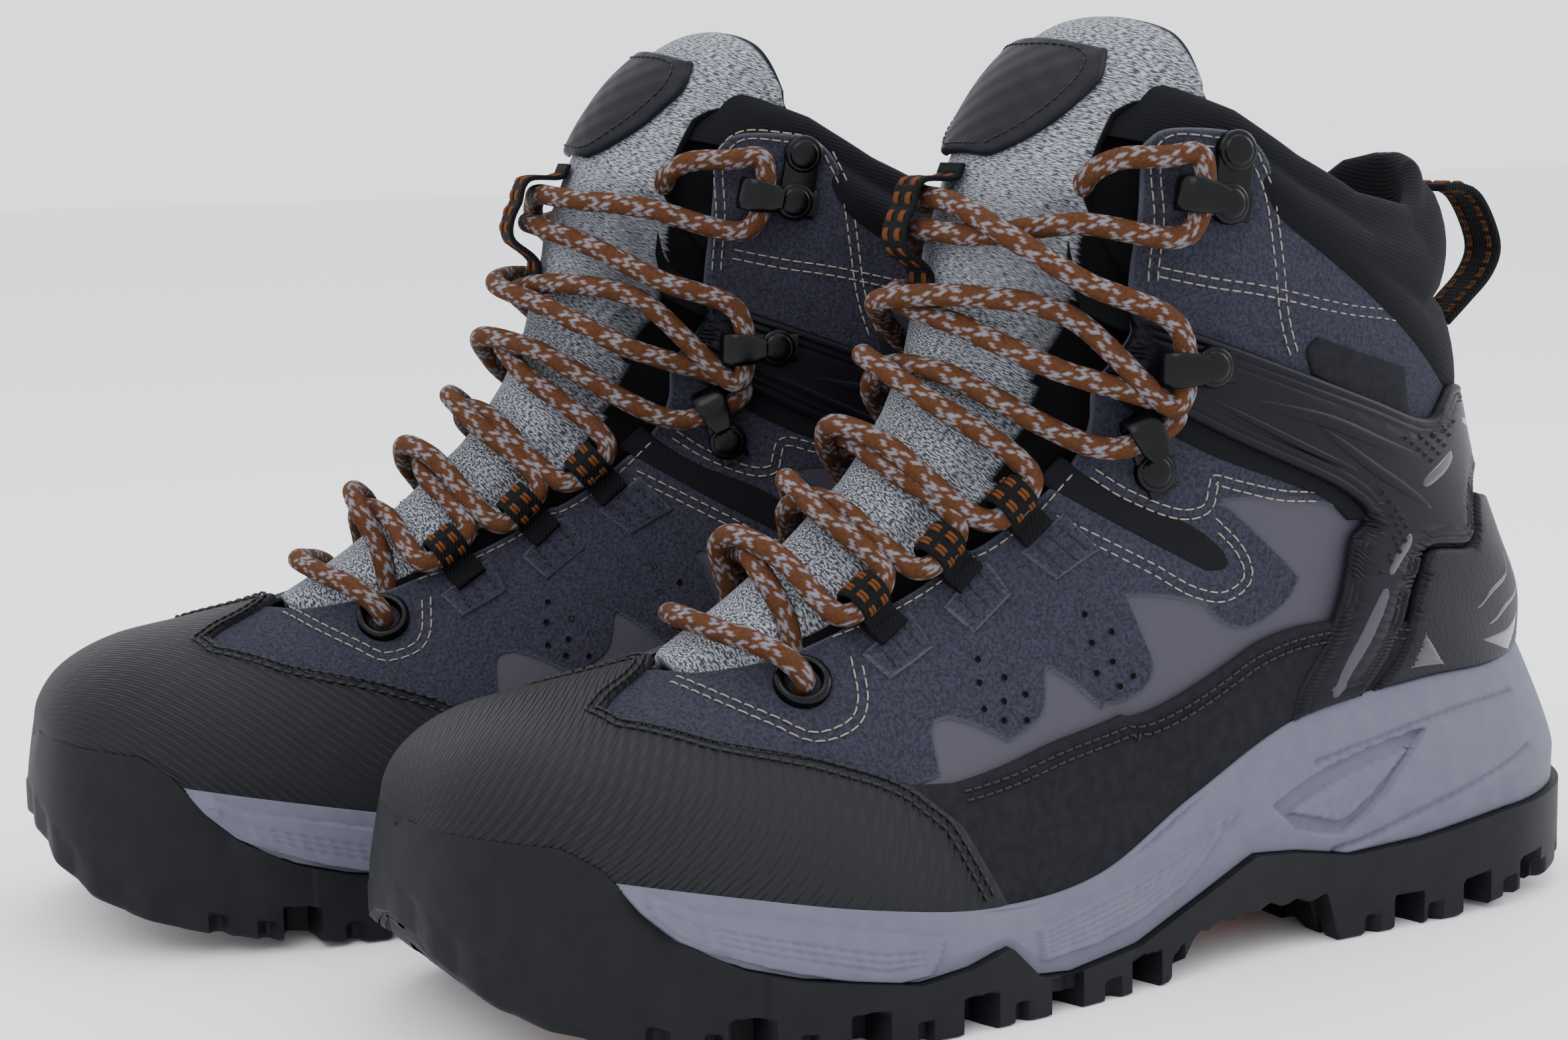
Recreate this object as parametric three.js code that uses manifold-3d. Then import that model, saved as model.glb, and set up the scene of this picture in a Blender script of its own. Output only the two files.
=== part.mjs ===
// A pair of lace-up hiking boots, in millimetres, +Z up, toes towards -Y.
// One boot is described in its own frame: x outwards (lateral +), y from the toe tip to the heel,
// z up from the ground. The second boot is its mirror image.
import * as THREE from 'three';
import { mergeVertices } from 'three/addons/utils/BufferGeometryUtils.js';
import Module from 'manifold-3d';

const wasm = await Module();
wasm.setup();

// ---------------------------------------------------------------- driving dimensions
const GAP = 0.3;                       // clearance between touching pieces
const UPPER = 2.4;                     // thickness of the suede and nubuck shell
const OVERLAY = 1.6;                   // thickness of the toe cap
const RAND = 1.2;                      // thickness of the nubuck band above the midsole
const MOULDING = 2.4;                  // thickness of the heel counter and the ankle cage
const COLLAR_DEPTH = 9;                // how far the padded collar reaches inwards
const TONGUE = 5;                      // thickness of the padded tongue
const LACE = 5;                        // diameter of the round lace
const LACE_SIDES = 8;
const BUMPER_WALL = 3;                 // thickness of the toe bumper
const FOOTBED = 4;
const SPLAY = 4.2;                     // each boot turns out by this many degrees
const PAIR = new THREE.Vector2(104, 54);   // spacing of the two boots across and along
const PAIR_MIDDLE = 1.995;             // how far behind the origin the pair's middle would be
const HALF_LENGTH = 150;               // a boot turns about this point of its length
const FLAP_STATION = 16;               // the free top of the tongue folds here
const FLAP_HALF = 0.19;                // half its width as girth
const KEEPER_HALF = 5;                 // half the width of the lace keeper
const LOOP_HALF = 6;                   // half the width of the heel pull loop

// Stations of the boot's skin, from the toe tip to the top of the shaft. Every station is a plane
// through the front point and the lower or back point, and holds:
// front y, front z, back y, back z, half width outside, half width inside, open end, squareness.
const STATIONS = [
  [4.5, 46, 4.5, 44, 0, 0, 1, 2],
  [6, 53, 9, 42, 18, 20, 1, 2.1],
  [12, 60, 18, 41, 30, 32, 1, 2.2],
  [24, 65.5, 33, 38, 40, 42, 1, 2.2],
  [42, 69, 57, 33, 47, 46, 1, 2.1],
  [60, 74, 86, 27, 51, 46, 1, 1.9],
  [78, 85, 114, 23, 50, 42, 1, 1.75],
  [96, 99, 143, 25, 46, 38, 1, 1.7],
  [111, 113, 172, 38, 41, 36, 1, 1.75],
  [120, 126, 205, 51, 38, 35, 0.95, 1.8],
  [125, 137, 243, 55, 37, 35, 0.86, 1.9],
  [128, 147, 270, 55, 37, 35, 0.66, 2],
  [130, 155, 287, 57, 37, 35, 0.3, 2],
  [131, 161, 291, 66, 37, 35, 0, 2],
  [133, 166, 284, 82, 37, 35, 0, 2],
  [135, 171, 276, 100, 37, 36, 0, 2],
  [138, 178, 270, 122, 38, 37, 0, 2],
  [143, 187, 267, 145, 38, 38, 0, 2],
  [151, 197, 265, 163, 38, 38, 0, 2],
  [162, 206, 263, 178, 38, 38, 0, 2],
];
const TOP = STATIONS.length - 1;

// Lines on the skin, as pairs of girth and station or of station and girth.
// Girth is 0 on the ridge, 1 at the outer lower edge and -1 at the inner lower edge.
const THROAT = [[4.9, 0.02], [5.25, 0.19], [5.9, 0.3], [6.8, 0.36], [7.7, 0.41], [8.7, 0.43],
  [9.6, 0.42], [11, 0.35], [13, 0.3], [20, 0.3]];
const COLLAR_FRONT = [[10, 0.36], [11.5, 0.31], [14, 0.26], [20, 0.245]];
const QUARTER_TOP = [[0, 17.6], [0.42, 17.8], [0.49, 17.1], [0.65, 16.5], [0.77, 16.2], [1, 16]];
const COLLAR_LOW = [[0, 12.6], [0.3, 12.8], [0.5, 14.4], [0.7, 15.4], [1, 15.7]];
const COLLAR_TOP = [[0, 18.2], [0.3, 18.2], [0.42, 18], [0.52, 17.6], [0.62, 17.4], [0.75, 17.6],
  [0.88, 18.5], [1, 18.9]];
const TOE_EDGE = [[0, 5.1], [0.05, 4.95], [0.12, 4.38], [0.19, 4.05], [0.31, 4.16], [0.47, 4.83],
  [0.57, 5.5], [0.68, 6.1], [0.78, 6.28], [1, 6.22]];

// Sole outline and heights along the length: pairs of y and value.
const SOLE_OUTSIDE = [[0, 4], [1.5, 14], [4, 23], [8, 30.5], [14, 37.5], [24, 44.5], [42, 51], [60, 54.5],
  [86, 57], [110, 57], [140, 53], [170, 48], [200, 43.5], [230, 42], [255, 41], [272, 38.5],
  [285, 32], [294, 24], [300, 15], [304, 4]];
const SOLE_INSIDE = [[0, 4], [1.5, 16], [4, 25], [8, 32.5], [14, 39], [24, 45.5], [42, 50], [60, 51],
  [86, 49], [110, 45.5], [140, 41.5], [170, 39.5], [200, 38.5], [230, 39], [255, 39], [272, 36],
  [285, 30], [294, 22], [300, 14], [304, 4]];
const TREAD = [[0, 26], [4, 19], [10, 14], [18, 10.5], [30, 7], [50, 3], [72, 0.6], [90, 0], [160, 0],
  [164, 3], [170, 9.5], [190, 11], [209, 10], [212, 0], [248, 0],
  [264, 2.2], [286, 4.6], [296, 6.5], [304, 10]];
const FOAM_FOOT = [[0, 48], [20, 46.5], [28, 42], [36, 33], [43, 27], [56, 20.5], [68, 17], [94, 12.5],
  [106, 14], [116, 17], [124, 9], [133, 8], [152, 10.4], [171, 17.7], [187, 24], [200, 22.6],
  [216, 19.5], [237, 20.3], [264, 23.6], [285, 24.6], [304, 25]];
const PLATE_TOP = [[30, 13], [50, 9.5], [72, 7], [90, 6.4], [140, 6], [158, 7.5], [172, 13.5], [206, 14]];
const TREAD_BASE = 9;                  // rubber between the ground and the cup of the toe
const CUP_END = 47;                    // where the toe bumper's cup ends
const CUP_GAP = 0.5;                   // clearance of the foam in the cup
const PLATE_HALF = 22;
const PLATE = 2;
const SLOTS = [57, 82, 108, 131, 154, 233, 254, 273];   // side slots between the lugs
const SLOT = new THREE.Vector3(9, 5.5, 5);

// Fastenings on the outer side, as station and girth.
const EYELET = [5.9, 0.39];
const LACE_LOOPS = [[6.85, 0.36], [7.75, 0.4], [8.68, 0.42]];
const HOOKS = [[10.2, 0.49, 0], [13.08, 0.37, RAND + MOULDING + 2 * GAP], [16.66, 0.395, 0]];
const HOOK_REACH = 9.5;                // from the rivet to the seat of the lace
const HOOK_METAL_THICK = 1.6;
const HOOK_ROOM = 2.9;                 // radius of the curl that holds the lace

// ---------------------------------------------------------------- colours
function matter(color, roughness, metalness = 0) {
  return new THREE.MeshStandardMaterial({ color, roughness, metalness });
}
const RUBBER = matter(0x141519, 0.75);
const FOAM = matter(0x76828f, 0.6);
const ORANGE = matter(0xe8551a, 0.5);
const FELT = matter(0x2b2c31, 0.9);
const SUEDE = matter(0x3d4655, 0.95);
const NUBUCK = matter(0x17181c, 0.85);
const MOULDED = matter(0x101114, 0.45);
const KNIT_BLACK = matter(0x0d0e11, 0.9);
const KNIT_GREY = matter(0x7d8087, 0.95);
const LABEL = matter(0x15161a, 0.5);
const WEBBING = matter(0x16120f, 0.9);
const LACE_BROWN = matter(0xa85a1e, 0.85);
const HOOK_METAL = matter(0x101013, 0.35, 0.6);

// ---------------------------------------------------------------- the skin
function catmullRom(a, b, c, d, t) {
  return 0.5 * (2 * b + (c - a) * t + (2 * a - 5 * b + 4 * c - d) * t * t
    + (3 * b - a - 3 * c + d) * t * t * t);
}

function station(s) {
  const k = Math.min(Math.max(Math.floor(s), 0), TOP - 1);
  const before = STATIONS[Math.max(k - 1, 0)];
  const after = STATIONS[Math.min(k + 2, TOP)];
  return STATIONS[k].map((value, i) =>
    catmullRom(before[i], value, STATIONS[k + 1][i], after[i], s - k));
}

const isShut = (s) => Math.max(station(s)[6], 0) < 0.001;

function signedPower(value, power) {
  return Math.sign(value) * Math.abs(value) ** power;
}

function skinPoint(s, girth) {
  const g = girth > 1 ? girth - 2 : girth < -1 ? girth + 2 : girth;
  const [frontY, frontZ, backY, backZ, outside, inside, end, square] = station(s);
  const lastAngle = Math.PI - Math.asin(Math.min(Math.max(end, 0), 1));
  const angle = Math.abs(g) * lastAngle;
  const across = Math.abs(Math.sin(angle)) ** (2 / square);
  const along = (1 - signedPower(Math.cos(angle), 2 / square))
    / (1 - signedPower(Math.cos(lastAngle), 2 / square));
  const x = g >= 0 ? outside * across : -inside * across;
  return new THREE.Vector3(x, frontY + (backY - frontY) * along, frontZ + (backZ - frontZ) * along);
}

function skinNormal(s, g) {
  const step = 0.002;
  const s0 = Math.max(s - step, 0.02);
  const s1 = Math.min(s + step, TOP - 1e-6);
  const alongS = skinPoint(s1, g).sub(skinPoint(s0, g));
  const onSeam = Math.abs(Math.abs(g) - 1) < 1e-6;
  if (onSeam && isShut(s)) {
    return new THREE.Vector3(-1, 0, 0).cross(alongS.setX(0)).normalize();
  }
  const g0 = g > -1 || g < -1 - step ? g - step : g;
  const g1 = Math.abs(g - 1) < step ? g : g + step;
  const alongG = skinPoint(s, g1).sub(skinPoint(s, Math.abs(g + 1) < step ? g : g0));
  return alongG.cross(alongS).normalize();
}

function skin(s, g, lift = 0) {
  return skinPoint(s, g).addScaledVector(skinNormal(s, g), lift);
}

// Straight interpolation in a list of pairs.
function follow(pairs, at) {
  const last = pairs.length - 1;
  if (at <= pairs[0][0]) return pairs[0][1];
  if (at >= pairs[last][0]) return pairs[last][1];
  const k = pairs.findIndex(([from]) => from > at) - 1;
  const [a, b] = [pairs[k], pairs[k + 1]];
  return a[1] + (b[1] - a[1]) * (at - a[0]) / (b[0] - a[0]);
}

function steps(from, to, count) {
  return Array.from({ length: count + 1 }, (_, i) => from + (to - from) * i / count);
}

// ---------------------------------------------------------------- closed bodies
function toGeometry(points, triangles) {
  const geometry = new THREE.BufferGeometry();
  geometry.setAttribute('position', new THREE.Float32BufferAttribute(points.flatMap((p) => p.toArray()), 3));
  geometry.setIndex(triangles);
  return weld(geometry);
}

// One shared vertex for each place, and no empty triangles.
function weld(source) {
  const bare = source.clone();
  bare.deleteAttribute('normal');
  bare.deleteAttribute('uv');
  const geometry = mergeVertices(bare, 1e-3);
  const index = geometry.getIndex().array;
  const kept = [];
  for (let i = 0; i < index.length; i += 3) {
    const [a, b, c] = [index[i], index[i + 1], index[i + 2]];
    if (a !== b && b !== c && c !== a) kept.push(a, b, c);
  }
  geometry.setIndex(kept);
  return geometry;
}

// Rings of points, one after another, closed at both ends by a fan about the ring's middle.
function ringBody(rings) {
  const count = rings[0].length;
  const points = rings.flat();
  const triangles = [];
  for (let i = 0; i + 1 < rings.length; i += 1) {
    for (let j = 0; j < count; j += 1) {
      const a = i * count + j;
      const b = i * count + (j + 1) % count;
      triangles.push(a, b, b + count, a, b + count, a + count);
    }
  }
  for (const [first, flip] of [[0, true], [(rings.length - 1) * count, false]]) {
    const ring = points.slice(first, first + count);
    const middle = ring.reduce((sum, p) => sum.add(p), new THREE.Vector3()).divideScalar(count);
    const centre = points.push(middle) - 1;
    for (let j = 0; j < count; j += 1) {
      const a = first + j;
      const b = first + (j + 1) % count;
      triangles.push(...(flip ? [b, a, centre] : [a, b, centre]));
    }
  }
  return outward(toGeometry(points, triangles));
}

// Turns a closed geometry's faces outwards.
function outward(geometry) {
  const position = geometry.getAttribute('position');
  const index = Array.from(geometry.getIndex().array);
  const corner = (i) => new THREE.Vector3().fromBufferAttribute(position, index[i]);
  let volume = 0;
  for (let i = 0; i < index.length; i += 3) {
    volume += corner(i).dot(corner(i + 1).cross(corner(i + 2)));
  }
  if (volume < 0) geometry.setIndex(index.reverse());
  return geometry;
}

// A sheet of even or varying thickness on the skin. The grid holds rows of [station, girth];
// low and high give the lift of its two faces at a grid point.
function sheet(grid, low, high) {
  const rows = grid.length;
  const columns = grid[0].length;
  const lift = (value, s, g, i, j) => (typeof value === 'function' ? value(s, g, i, j) : value);
  const face = (value) =>
    grid.flatMap((row, i) => row.map(([s, g], j) => skin(s, g, lift(value, s, g, i, j))));
  const points = [...face(low), ...face(high)];
  const top = rows * columns;
  const triangles = [];
  const quad = (a, b, c, d) => triangles.push(a, b, c, a, c, d);
  for (let i = 0; i + 1 < rows; i += 1) {
    for (let j = 0; j + 1 < columns; j += 1) {
      const a = i * columns + j;
      quad(a, a + columns, a + columns + 1, a + 1);
      quad(top + a, top + a + 1, top + a + columns + 1, top + a + columns);
    }
  }
  for (let i = 0; i + 1 < rows; i += 1) {
    const left = i * columns;
    const right = left + columns - 1;
    quad(left, top + left, top + left + columns, left + columns);
    quad(right, right + columns, top + right + columns, top + right);
  }
  for (let j = 0; j + 1 < columns; j += 1) {
    const back = (rows - 1) * columns + j;
    quad(j, j + 1, top + j + 1, top + j);
    quad(back, top + back, top + back + 1, back + 1);
  }
  return outward(toGeometry(points, triangles));
}

// A grid between two lines given column by column as [[s, g], [s, g]].
function spanned(columns, across) {
  const between = (a, b, t) => [a[0] + (b[0] - a[0]) * t, a[1] + (b[1] - a[1]) * t];
  return columns.map(([a, b]) => steps(0, 1, across).map((t) => between(a, b, t)));
}

function toSolid(geometry) {
  const shared = weld(geometry);
  return new wasm.Manifold(new wasm.Mesh({
    numProp: 3,
    vertProperties: new Float32Array(shared.getAttribute('position').array),
    triVerts: new Uint32Array(shared.getIndex().array),
  }));
}

function fromSolid(solid) {
  const { vertProperties, triVerts } = solid.getMesh();
  const geometry = new THREE.BufferGeometry();
  geometry.setAttribute('position', new THREE.BufferAttribute(new Float32Array(vertProperties), 3));
  geometry.setIndex(Array.from(triVerts));
  return weld(geometry);
}

function cutAway(geometry, ...tools) {
  return fromSolid(tools.reduce((rest, tool) => rest.subtract(toSolid(tool)), toSolid(geometry)));
}

// ---------------------------------------------------------------- the upper
// The space inside the skin moved by lift. Below is how far its open lower side is drawn down.
function skinVolume(lift, stations, below, above = 0) {
  const girths = steps(-1, 1, 12);
  const rings = stations.map((s) => {
    const ring = girths.map((g) => skin(s, g, lift));
    const [frontY, frontZ, backY, backZ, , , end] = station(s);
    const down = new THREE.Vector3(0, backY - frontY, backZ - frontZ).normalize();
    const drop = below * Math.min(Math.max(end, 0) * 3, 1);
    const left = ring[0].clone().addScaledVector(down, drop);
    const right = ring[girths.length - 1].clone().addScaledVector(down, drop);
    return drop > 0 || below > 0 ? [...ring, right, left] : ring;
  });
  if (above > 0) {
    const last = rings[rings.length - 1];
    rings.push(last.map((p) => p.clone().add(new THREE.Vector3(0, 0, above))));
  }
  return ringBody(rings);
}

const SKIN_STATIONS = [0.35, 1, 2, 3, 4, 5, 6, 7, 8, 9, 10, 11, 12, 12.6, 14.4, 16.3, 17.9];

// The room between two lifts above the skin, in which an overlay's outline is cut out.
function layer(outline, low, high) {
  const outer = toSolid(skinVolume(high, SKIN_STATIONS, 0));
  const between = outer.subtract(toSolid(skinVolume(low, SKIN_STATIONS, 0)));
  return fromSolid(between.intersect(toSolid(outline)));
}

const UNDER = -5;                      // an outline is cut from a slab between these two lifts
const OVER = 8;

// A slab across the ridge as wide as the throat, to open the front of the boot.
function throatOpening() {
  const rows = [4.9, 5.25, 5.6, 6, 7, 8, 9, 10, 11, 12, 13.5, 15, 16.5, 18.6];
  const grid = rows.map((s) => steps(-1, 1, 8).map((t) => [s, t * follow(THROAT, s)]));
  return sheet(grid, -8, 10);
}

// Everything above the top edge of the suede quarters, right round the boot.
function aboveQuarters(gap = 0) {
  const girths = [-1, -0.9, -0.77, -0.65, -0.57, -0.49, -0.42, -0.3, -0.15, 0,
    0.15, 0.3, 0.42, 0.49, 0.57, 0.65, 0.77, 0.9, 1];
  const ring = (rise, lift) => girths.map((g) => {
    const s = Math.min(follow(QUARTER_TOP, Math.abs(g)), TOP);
    return skin(s, g, lift).add(new THREE.Vector3(0, 0, rise));
  });
  return ringBody([ring(gap, 8), ring(60, 8)]);
}

function buildUpper() {
  const outer = skinVolume(0, SKIN_STATIONS, 0);
  const inner = skinVolume(-UPPER, SKIN_STATIONS.slice(1), 9, 12);
  const holes = [1, -1].map((side) => {
    const hole = new THREE.CylinderGeometry(3.9, 3.9, 16, 10).rotateX(Math.PI / 2);
    return outward(weld(hole.applyMatrix4(placeOnSkin(EYELET[0], EYELET[1] * side, 0))));
  });
  return cutAway(outer, inner, throatOpening(), aboveQuarters(), ...holes);
}

function buildToeCap() {
  const girths = [-0.92, -0.78, -0.57, -0.4, -0.19, -0.06, 0.06, 0.19, 0.4, 0.57, 0.78, 0.92];
  const columns = girths.map((g) => {
    const start = Math.abs(g) > 0.8 ? 2.3 : 1.05;
    return [[start, g * 0.9], [follow(TOE_EDGE, Math.abs(g)), g]];
  });
  return layer(sheet(spanned(columns, 2), UNDER, OVER), GAP, GAP + OVERLAY);
}

// One band from the toe cap round the heel and back, above the midsole.
const RAND_TOP = [[6.42, 0.7], [7.25, 0.73], [8, 0.79], [8.8, 0.82], [9.6, 0.82], [10.6, 0.85],
  [11.6, 0.88], [12.4, 0.92], [13, 1]];
const RAND_LOW = [[6.3, 0.985], [7.2, 0.985], [8, 0.985], [8.8, 0.985], [9.6, 0.985], [10.6, 0.985],
  [11.4, 0.985], [12, 0.985], [12.4, 1]];

// The columns of a band that is the same on both sides and meets behind the heel.
function aroundHeel(low, high) {
  const outside = low.map((point, i) => [point, high[i]]);
  const wrap = ([s, g]) => [s, 2 - g];
  const inside = outside.slice(0, -1).reverse().map((pair) => pair.map(wrap));
  return [...outside, ...inside];
}

function buildRand() {
  return layer(sheet(spanned(aroundHeel(RAND_LOW, RAND_TOP), 1), UNDER, OVER), GAP, GAP + RAND);
}

const MOULD_LOW = GAP + RAND + GAP;      // mouldings stand on top of the rand

function buildHeelCounter() {
  const low = [[10.2, 0.96], [10.9, 0.965], [11.6, 0.965], [12.2, 0.97], [12.5, 1]];
  const high = [[12.3, 0.82], [14.4, 0.84], [14.5, 0.88], [14.65, 0.93], [14.75, 1]];
  return layer(sheet(spanned(aroundHeel(low, high), 2), UNDER, OVER), MOULD_LOW, MOULD_LOW + MOULDING);
}

// The cage runs from the lacing back to the heel, round it, and down to the midsole on each side.
function buildAnkleCage() {
  const low = [[11.8, 0.35], [11.7, 0.4], [11.8, 0.48], [12, 0.55], [11.6, 0.66], [10.1, 0.8], [9.2, 0.94],
    [9.85, 0.95], [11.4, 0.8], [14.7, 0.77], [15.05, 0.87], [15.1, 1]];
  const high = [[13.3, 0.31], [13.8, 0.36], [14.2, 0.43], [14.5, 0.5], [14.7, 0.57], [14.85, 0.62],
    [14.95, 0.66], [15.1, 0.69], [15.3, 0.71], [15.75, 0.77], [15.9, 0.88], [16, 1]];
  return layer(sheet(spanned(aroundHeel(low, high), 2), UNDER, OVER), MOULD_LOW, MOULD_LOW + MOULDING);
}

// The padded ring: behind the suede up to its edge, then swelling out over it.
function buildCollar() {
  const front = 0.26;
  const girths = [front, 0.32, 0.42, 0.49, 0.57, 0.7, 0.85, 1];
  const all = [...girths, ...girths.slice(0, -1).reverse().map((g) => 2 - g)];
  const grid = all.map((g) => {
    const near = g > 1 ? 2 - g : g;
    const low = follow(COLLAR_LOW, near);
    const edge = Math.min(follow(QUARTER_TOP, near) + 0.12, follow(COLLAR_TOP, near) - 0.3);
    const top = follow(COLLAR_TOP, near);
    return [low, (low + edge) / 2, edge, edge + 0.14, (edge + top) / 2 + 0.1, top].map((s) => [s, g]);
  });
  const outer = [-UPPER - 0.6, -UPPER - 0.6, -UPPER - 0.6, 1.4, 2, -2.5];
  const inner = [-6, -COLLAR_DEPTH, -COLLAR_DEPTH, -COLLAR_DEPTH, -COLLAR_DEPTH, -6];
  const proud = (s, g, i, j) => {
    const near = g > 1 ? 2 - g : g;
    return near < 0.44 ? Math.min(outer[j], -UPPER - 0.6) : outer[j];
  };
  const padding = toSolid(sheet(grid, (s, g, i, j) => inner[j], proud));
  const shell = toSolid(skinVolume(GAP, SKIN_STATIONS, 0))
    .subtract(toSolid(skinVolume(-UPPER - GAP, SKIN_STATIONS.slice(3), 0, 12)))
    .subtract(toSolid(aboveQuarters(GAP)));
  return fromSolid(padding.subtract(shell));
}

// ---------------------------------------------------------------- tongue and its pieces
function tongueHalf(s) {
  const line = [
    [5, 0.1], [6.4, 0.13], [6.7, 0.4], [7.4, 0.45], [8.7, 0.47],
    [10, 0.46], [12, 0.4], [14, 0.36], [20, 0.36],
  ];
  return follow(line, s);
}

// The tongue fills the throat flush with the skin and passes under the quarters and the collar.
// Its free top is narrower than the gap in the collar, so it stays flush all over.
function tongueLift(s, g) {
  if (s > FLAP_STATION) return -0.4;
  const open = Math.min(follow(THROAT, s), follow(COLLAR_FRONT, s)) - 0.035;
  const tuck = follow([[5, -UPPER - 0.8], [9.5, -UPPER - 1.3], [12, -COLLAR_DEPTH - 1.6]], s);
  const t = Math.min(Math.max((Math.abs(g) - open + 0.07) / 0.07, 0), 1);
  return -0.4 + (tuck + 0.4) * t * t * (3 - 2 * t);
}

function tongueSheet(stations, half = tongueHalf) {
  const shares = [-1, -0.8, -0.62, -0.3, 0, 0.3, 0.62, 0.8, 1];
  const grid = stations.map((s) => shares.map((t) => [s, t * half(s)]));
  return sheet(grid, (s, g) => tongueLift(s, g) - TONGUE, tongueLift);
}

const buildTongue = () => tongueSheet([5.3, 6.4, 6.7, 7.6, 8.6, 9.6, 11, 12.5, 14, FLAP_STATION - 0.02]);
const buildTongueFlap = () => tongueSheet([FLAP_STATION + 0.05, 17, 18, 18.9], () => FLAP_HALF);

function buildTongueLabel() {
  const widths = [[16.2, 0.07], [16.5, 0.1], [17, 0.14], [17.5, 0.165], [18.1, 0.175], [18.5, 0.15]];
  const grid = widths.map(([s, half]) => steps(-1, 1, 4).map((t) => [s, t * half]));
  return sheet(grid, 2 * GAP, 2 * GAP + 1.8);
}

// A strip sewn down at both ends; the lace passes behind its raised middle.
function buildLaceKeeper() {
  const rise = [[11.45, 0], [11.75, 0], [12.6, 7.8], [15, 7.8], [15.5, 0], [15.85, 0]];
  const grid = rise.map(([s]) => [-1, 0, 1].map((t) => [s, t * KEEPER_HALF / 90]));
  const low = (s) => -0.4 + GAP + follow(rise, s);
  return sheet(grid, low, (s) => low(s) + 1.2);
}

// ---------------------------------------------------------------- fastenings
// A frame on the skin: forward towards the tongue, up the boot, and out of the surface.
function placeOnSkin(s, g, lift) {
  const out = skinNormal(s, g);
  const up = skinPoint(s + 0.02, g).sub(skinPoint(s - 0.02, g)).normalize();
  const forward = out.clone().cross(up).multiplyScalar(Math.sign(g)).normalize();
  const along = out.clone().cross(forward);
  return new THREE.Matrix4().makeBasis(forward, along, out).setPosition(skin(s, g, lift));
}

// A point in the frame of a fastening; up is measured along the boot on either side.
function inFrame(frame, forward, up, out, side) {
  return new THREE.Vector3(forward, -up * side, out).applyMatrix4(frame);
}

// Extrudes a profile drawn in forward and outward directions by a width along the boot.
function acrossProfile(shape, width, segments = 6) {
  const options = { depth: width, bevelEnabled: false, curveSegments: segments };
  const geometry = new THREE.ExtrudeGeometry(shape, options);
  geometry.translate(0, 0, -width / 2);
  geometry.rotateX(Math.PI / 2);
  return outward(weld(geometry));
}

function buildEyelet([s, g]) {
  const profile = [[4.1, 0], [6.2, 0], [5.3, 1.3], [4.1, 1.1], [4.1, 0]];
  const ring = new THREE.LatheGeometry(profile.map(([x, y]) => new THREE.Vector2(x, y)), 12);
  ring.rotateX(Math.PI / 2);
  ring.applyMatrix4(placeOnSkin(s, g, 0.7));
  return outward(weld(ring));
}

const LOOP_HOLE = 3.1;
const LOOP_LIFT = 4.9;
const LOOP_WIDTH = 8;
const loopFrame = ([s, g], side) => placeOnSkin(s, (g - 0.02) * side, LOOP_LIFT);

function buildLaceLoop(place, side) {
  const shape = new THREE.Shape();
  shape.absarc(0, 0, LOOP_HOLE + 1.2, -Math.PI / 2, Math.PI, false);
  shape.lineTo(-LOOP_HOLE - 1.2, -1.5);
  shape.lineTo(-12, -3.1);
  shape.lineTo(-12, -LOOP_HOLE - 1.2);
  const hole = new THREE.Path();
  hole.absarc(0, 0, LOOP_HOLE, 0, 2 * Math.PI, true);
  shape.holes.push(hole);
  const band = acrossProfile(shape, LOOP_WIDTH, 5);
  band.applyMatrix4(loopFrame(place, side));
  return outward(band);
}

const hookFrame = ([s, g, base], side) => placeOnSkin(s, g * side, base + 0.6);

// A hook: a riveted base whose front end curls back over the lace.
function buildHook(place, side) {
  const middle = HOOK_METAL_THICK + HOOK_ROOM;
  const top = 2 * middle;
  const shape = new THREE.Shape();
  shape.moveTo(-4, 0);
  shape.lineTo(HOOK_REACH, 0);
  shape.absarc(HOOK_REACH, middle, middle, -Math.PI / 2, Math.PI / 2, false);
  shape.lineTo(HOOK_REACH - 6, top);
  shape.lineTo(HOOK_REACH - 6, top - HOOK_METAL_THICK);
  shape.lineTo(HOOK_REACH, top - HOOK_METAL_THICK);
  shape.absarc(HOOK_REACH, middle, HOOK_ROOM, Math.PI / 2, -Math.PI / 2, true);
  shape.lineTo(-4, HOOK_METAL_THICK);
  const arm = acrossProfile(shape, 5, 3);
  const rivet = new THREE.CylinderGeometry(5, 5.8, 2.6, 10);
  rivet.rotateX(Math.PI / 2);
  rivet.translate(0, 0, 1.3);
  const hook = fromSolid(toSolid(arm).add(toSolid(outward(weld(rivet)))));
  hook.applyMatrix4(hookFrame(place, side));
  return outward(hook);
}

// ---------------------------------------------------------------- lace
// The lace lies on the skin at [station, girth, lift] points, and passes through the loops and hooks.
// The bar crosses over the ridge and goes down through both eyelets.
const LACE_BAR = [[5.55, 0, 4.4], [5.62, 0.15, 4], [5.82, 0.33, 5.6], [5.89, 0.387, 3], [5.9, 0.39, -3.4],
  [6.05, 0.34, -6.4], [6.28, 0.22, 0]];
// Half of the lace above the bar: it comes out under the outer quarter and climbs to the top.
const LACE_HALF = [
  [6.4, 0.1, 4.2], [6.5, 0, 4.2], [6.58, -0.14, 4],
  ['loop', 0, -1],
  [7.2, -0.12, 3.9], [7.3, 0, 3.7], [7.4, 0.12, 3.9],
  ['loop', 1, 1],
  [8.12, 0.13, 3.9], [8.22, 0, 3.7], [8.32, -0.13, 3.9],
  ['loop', 2, -1],
  [9.25, -0.15, 4.1], [9.55, 0, 3.7], [9.8, 0.15, 4.1],
  ['hook', 0, 1],
  [10.9, 0.29, 7.6], [10.85, 0.15, 4.5], [10.9, 0, 3.8], [11.5, -0.13, 4.3], [12.3, -0.24, 6.8],
  ['hook', 1, -1],
];
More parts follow.
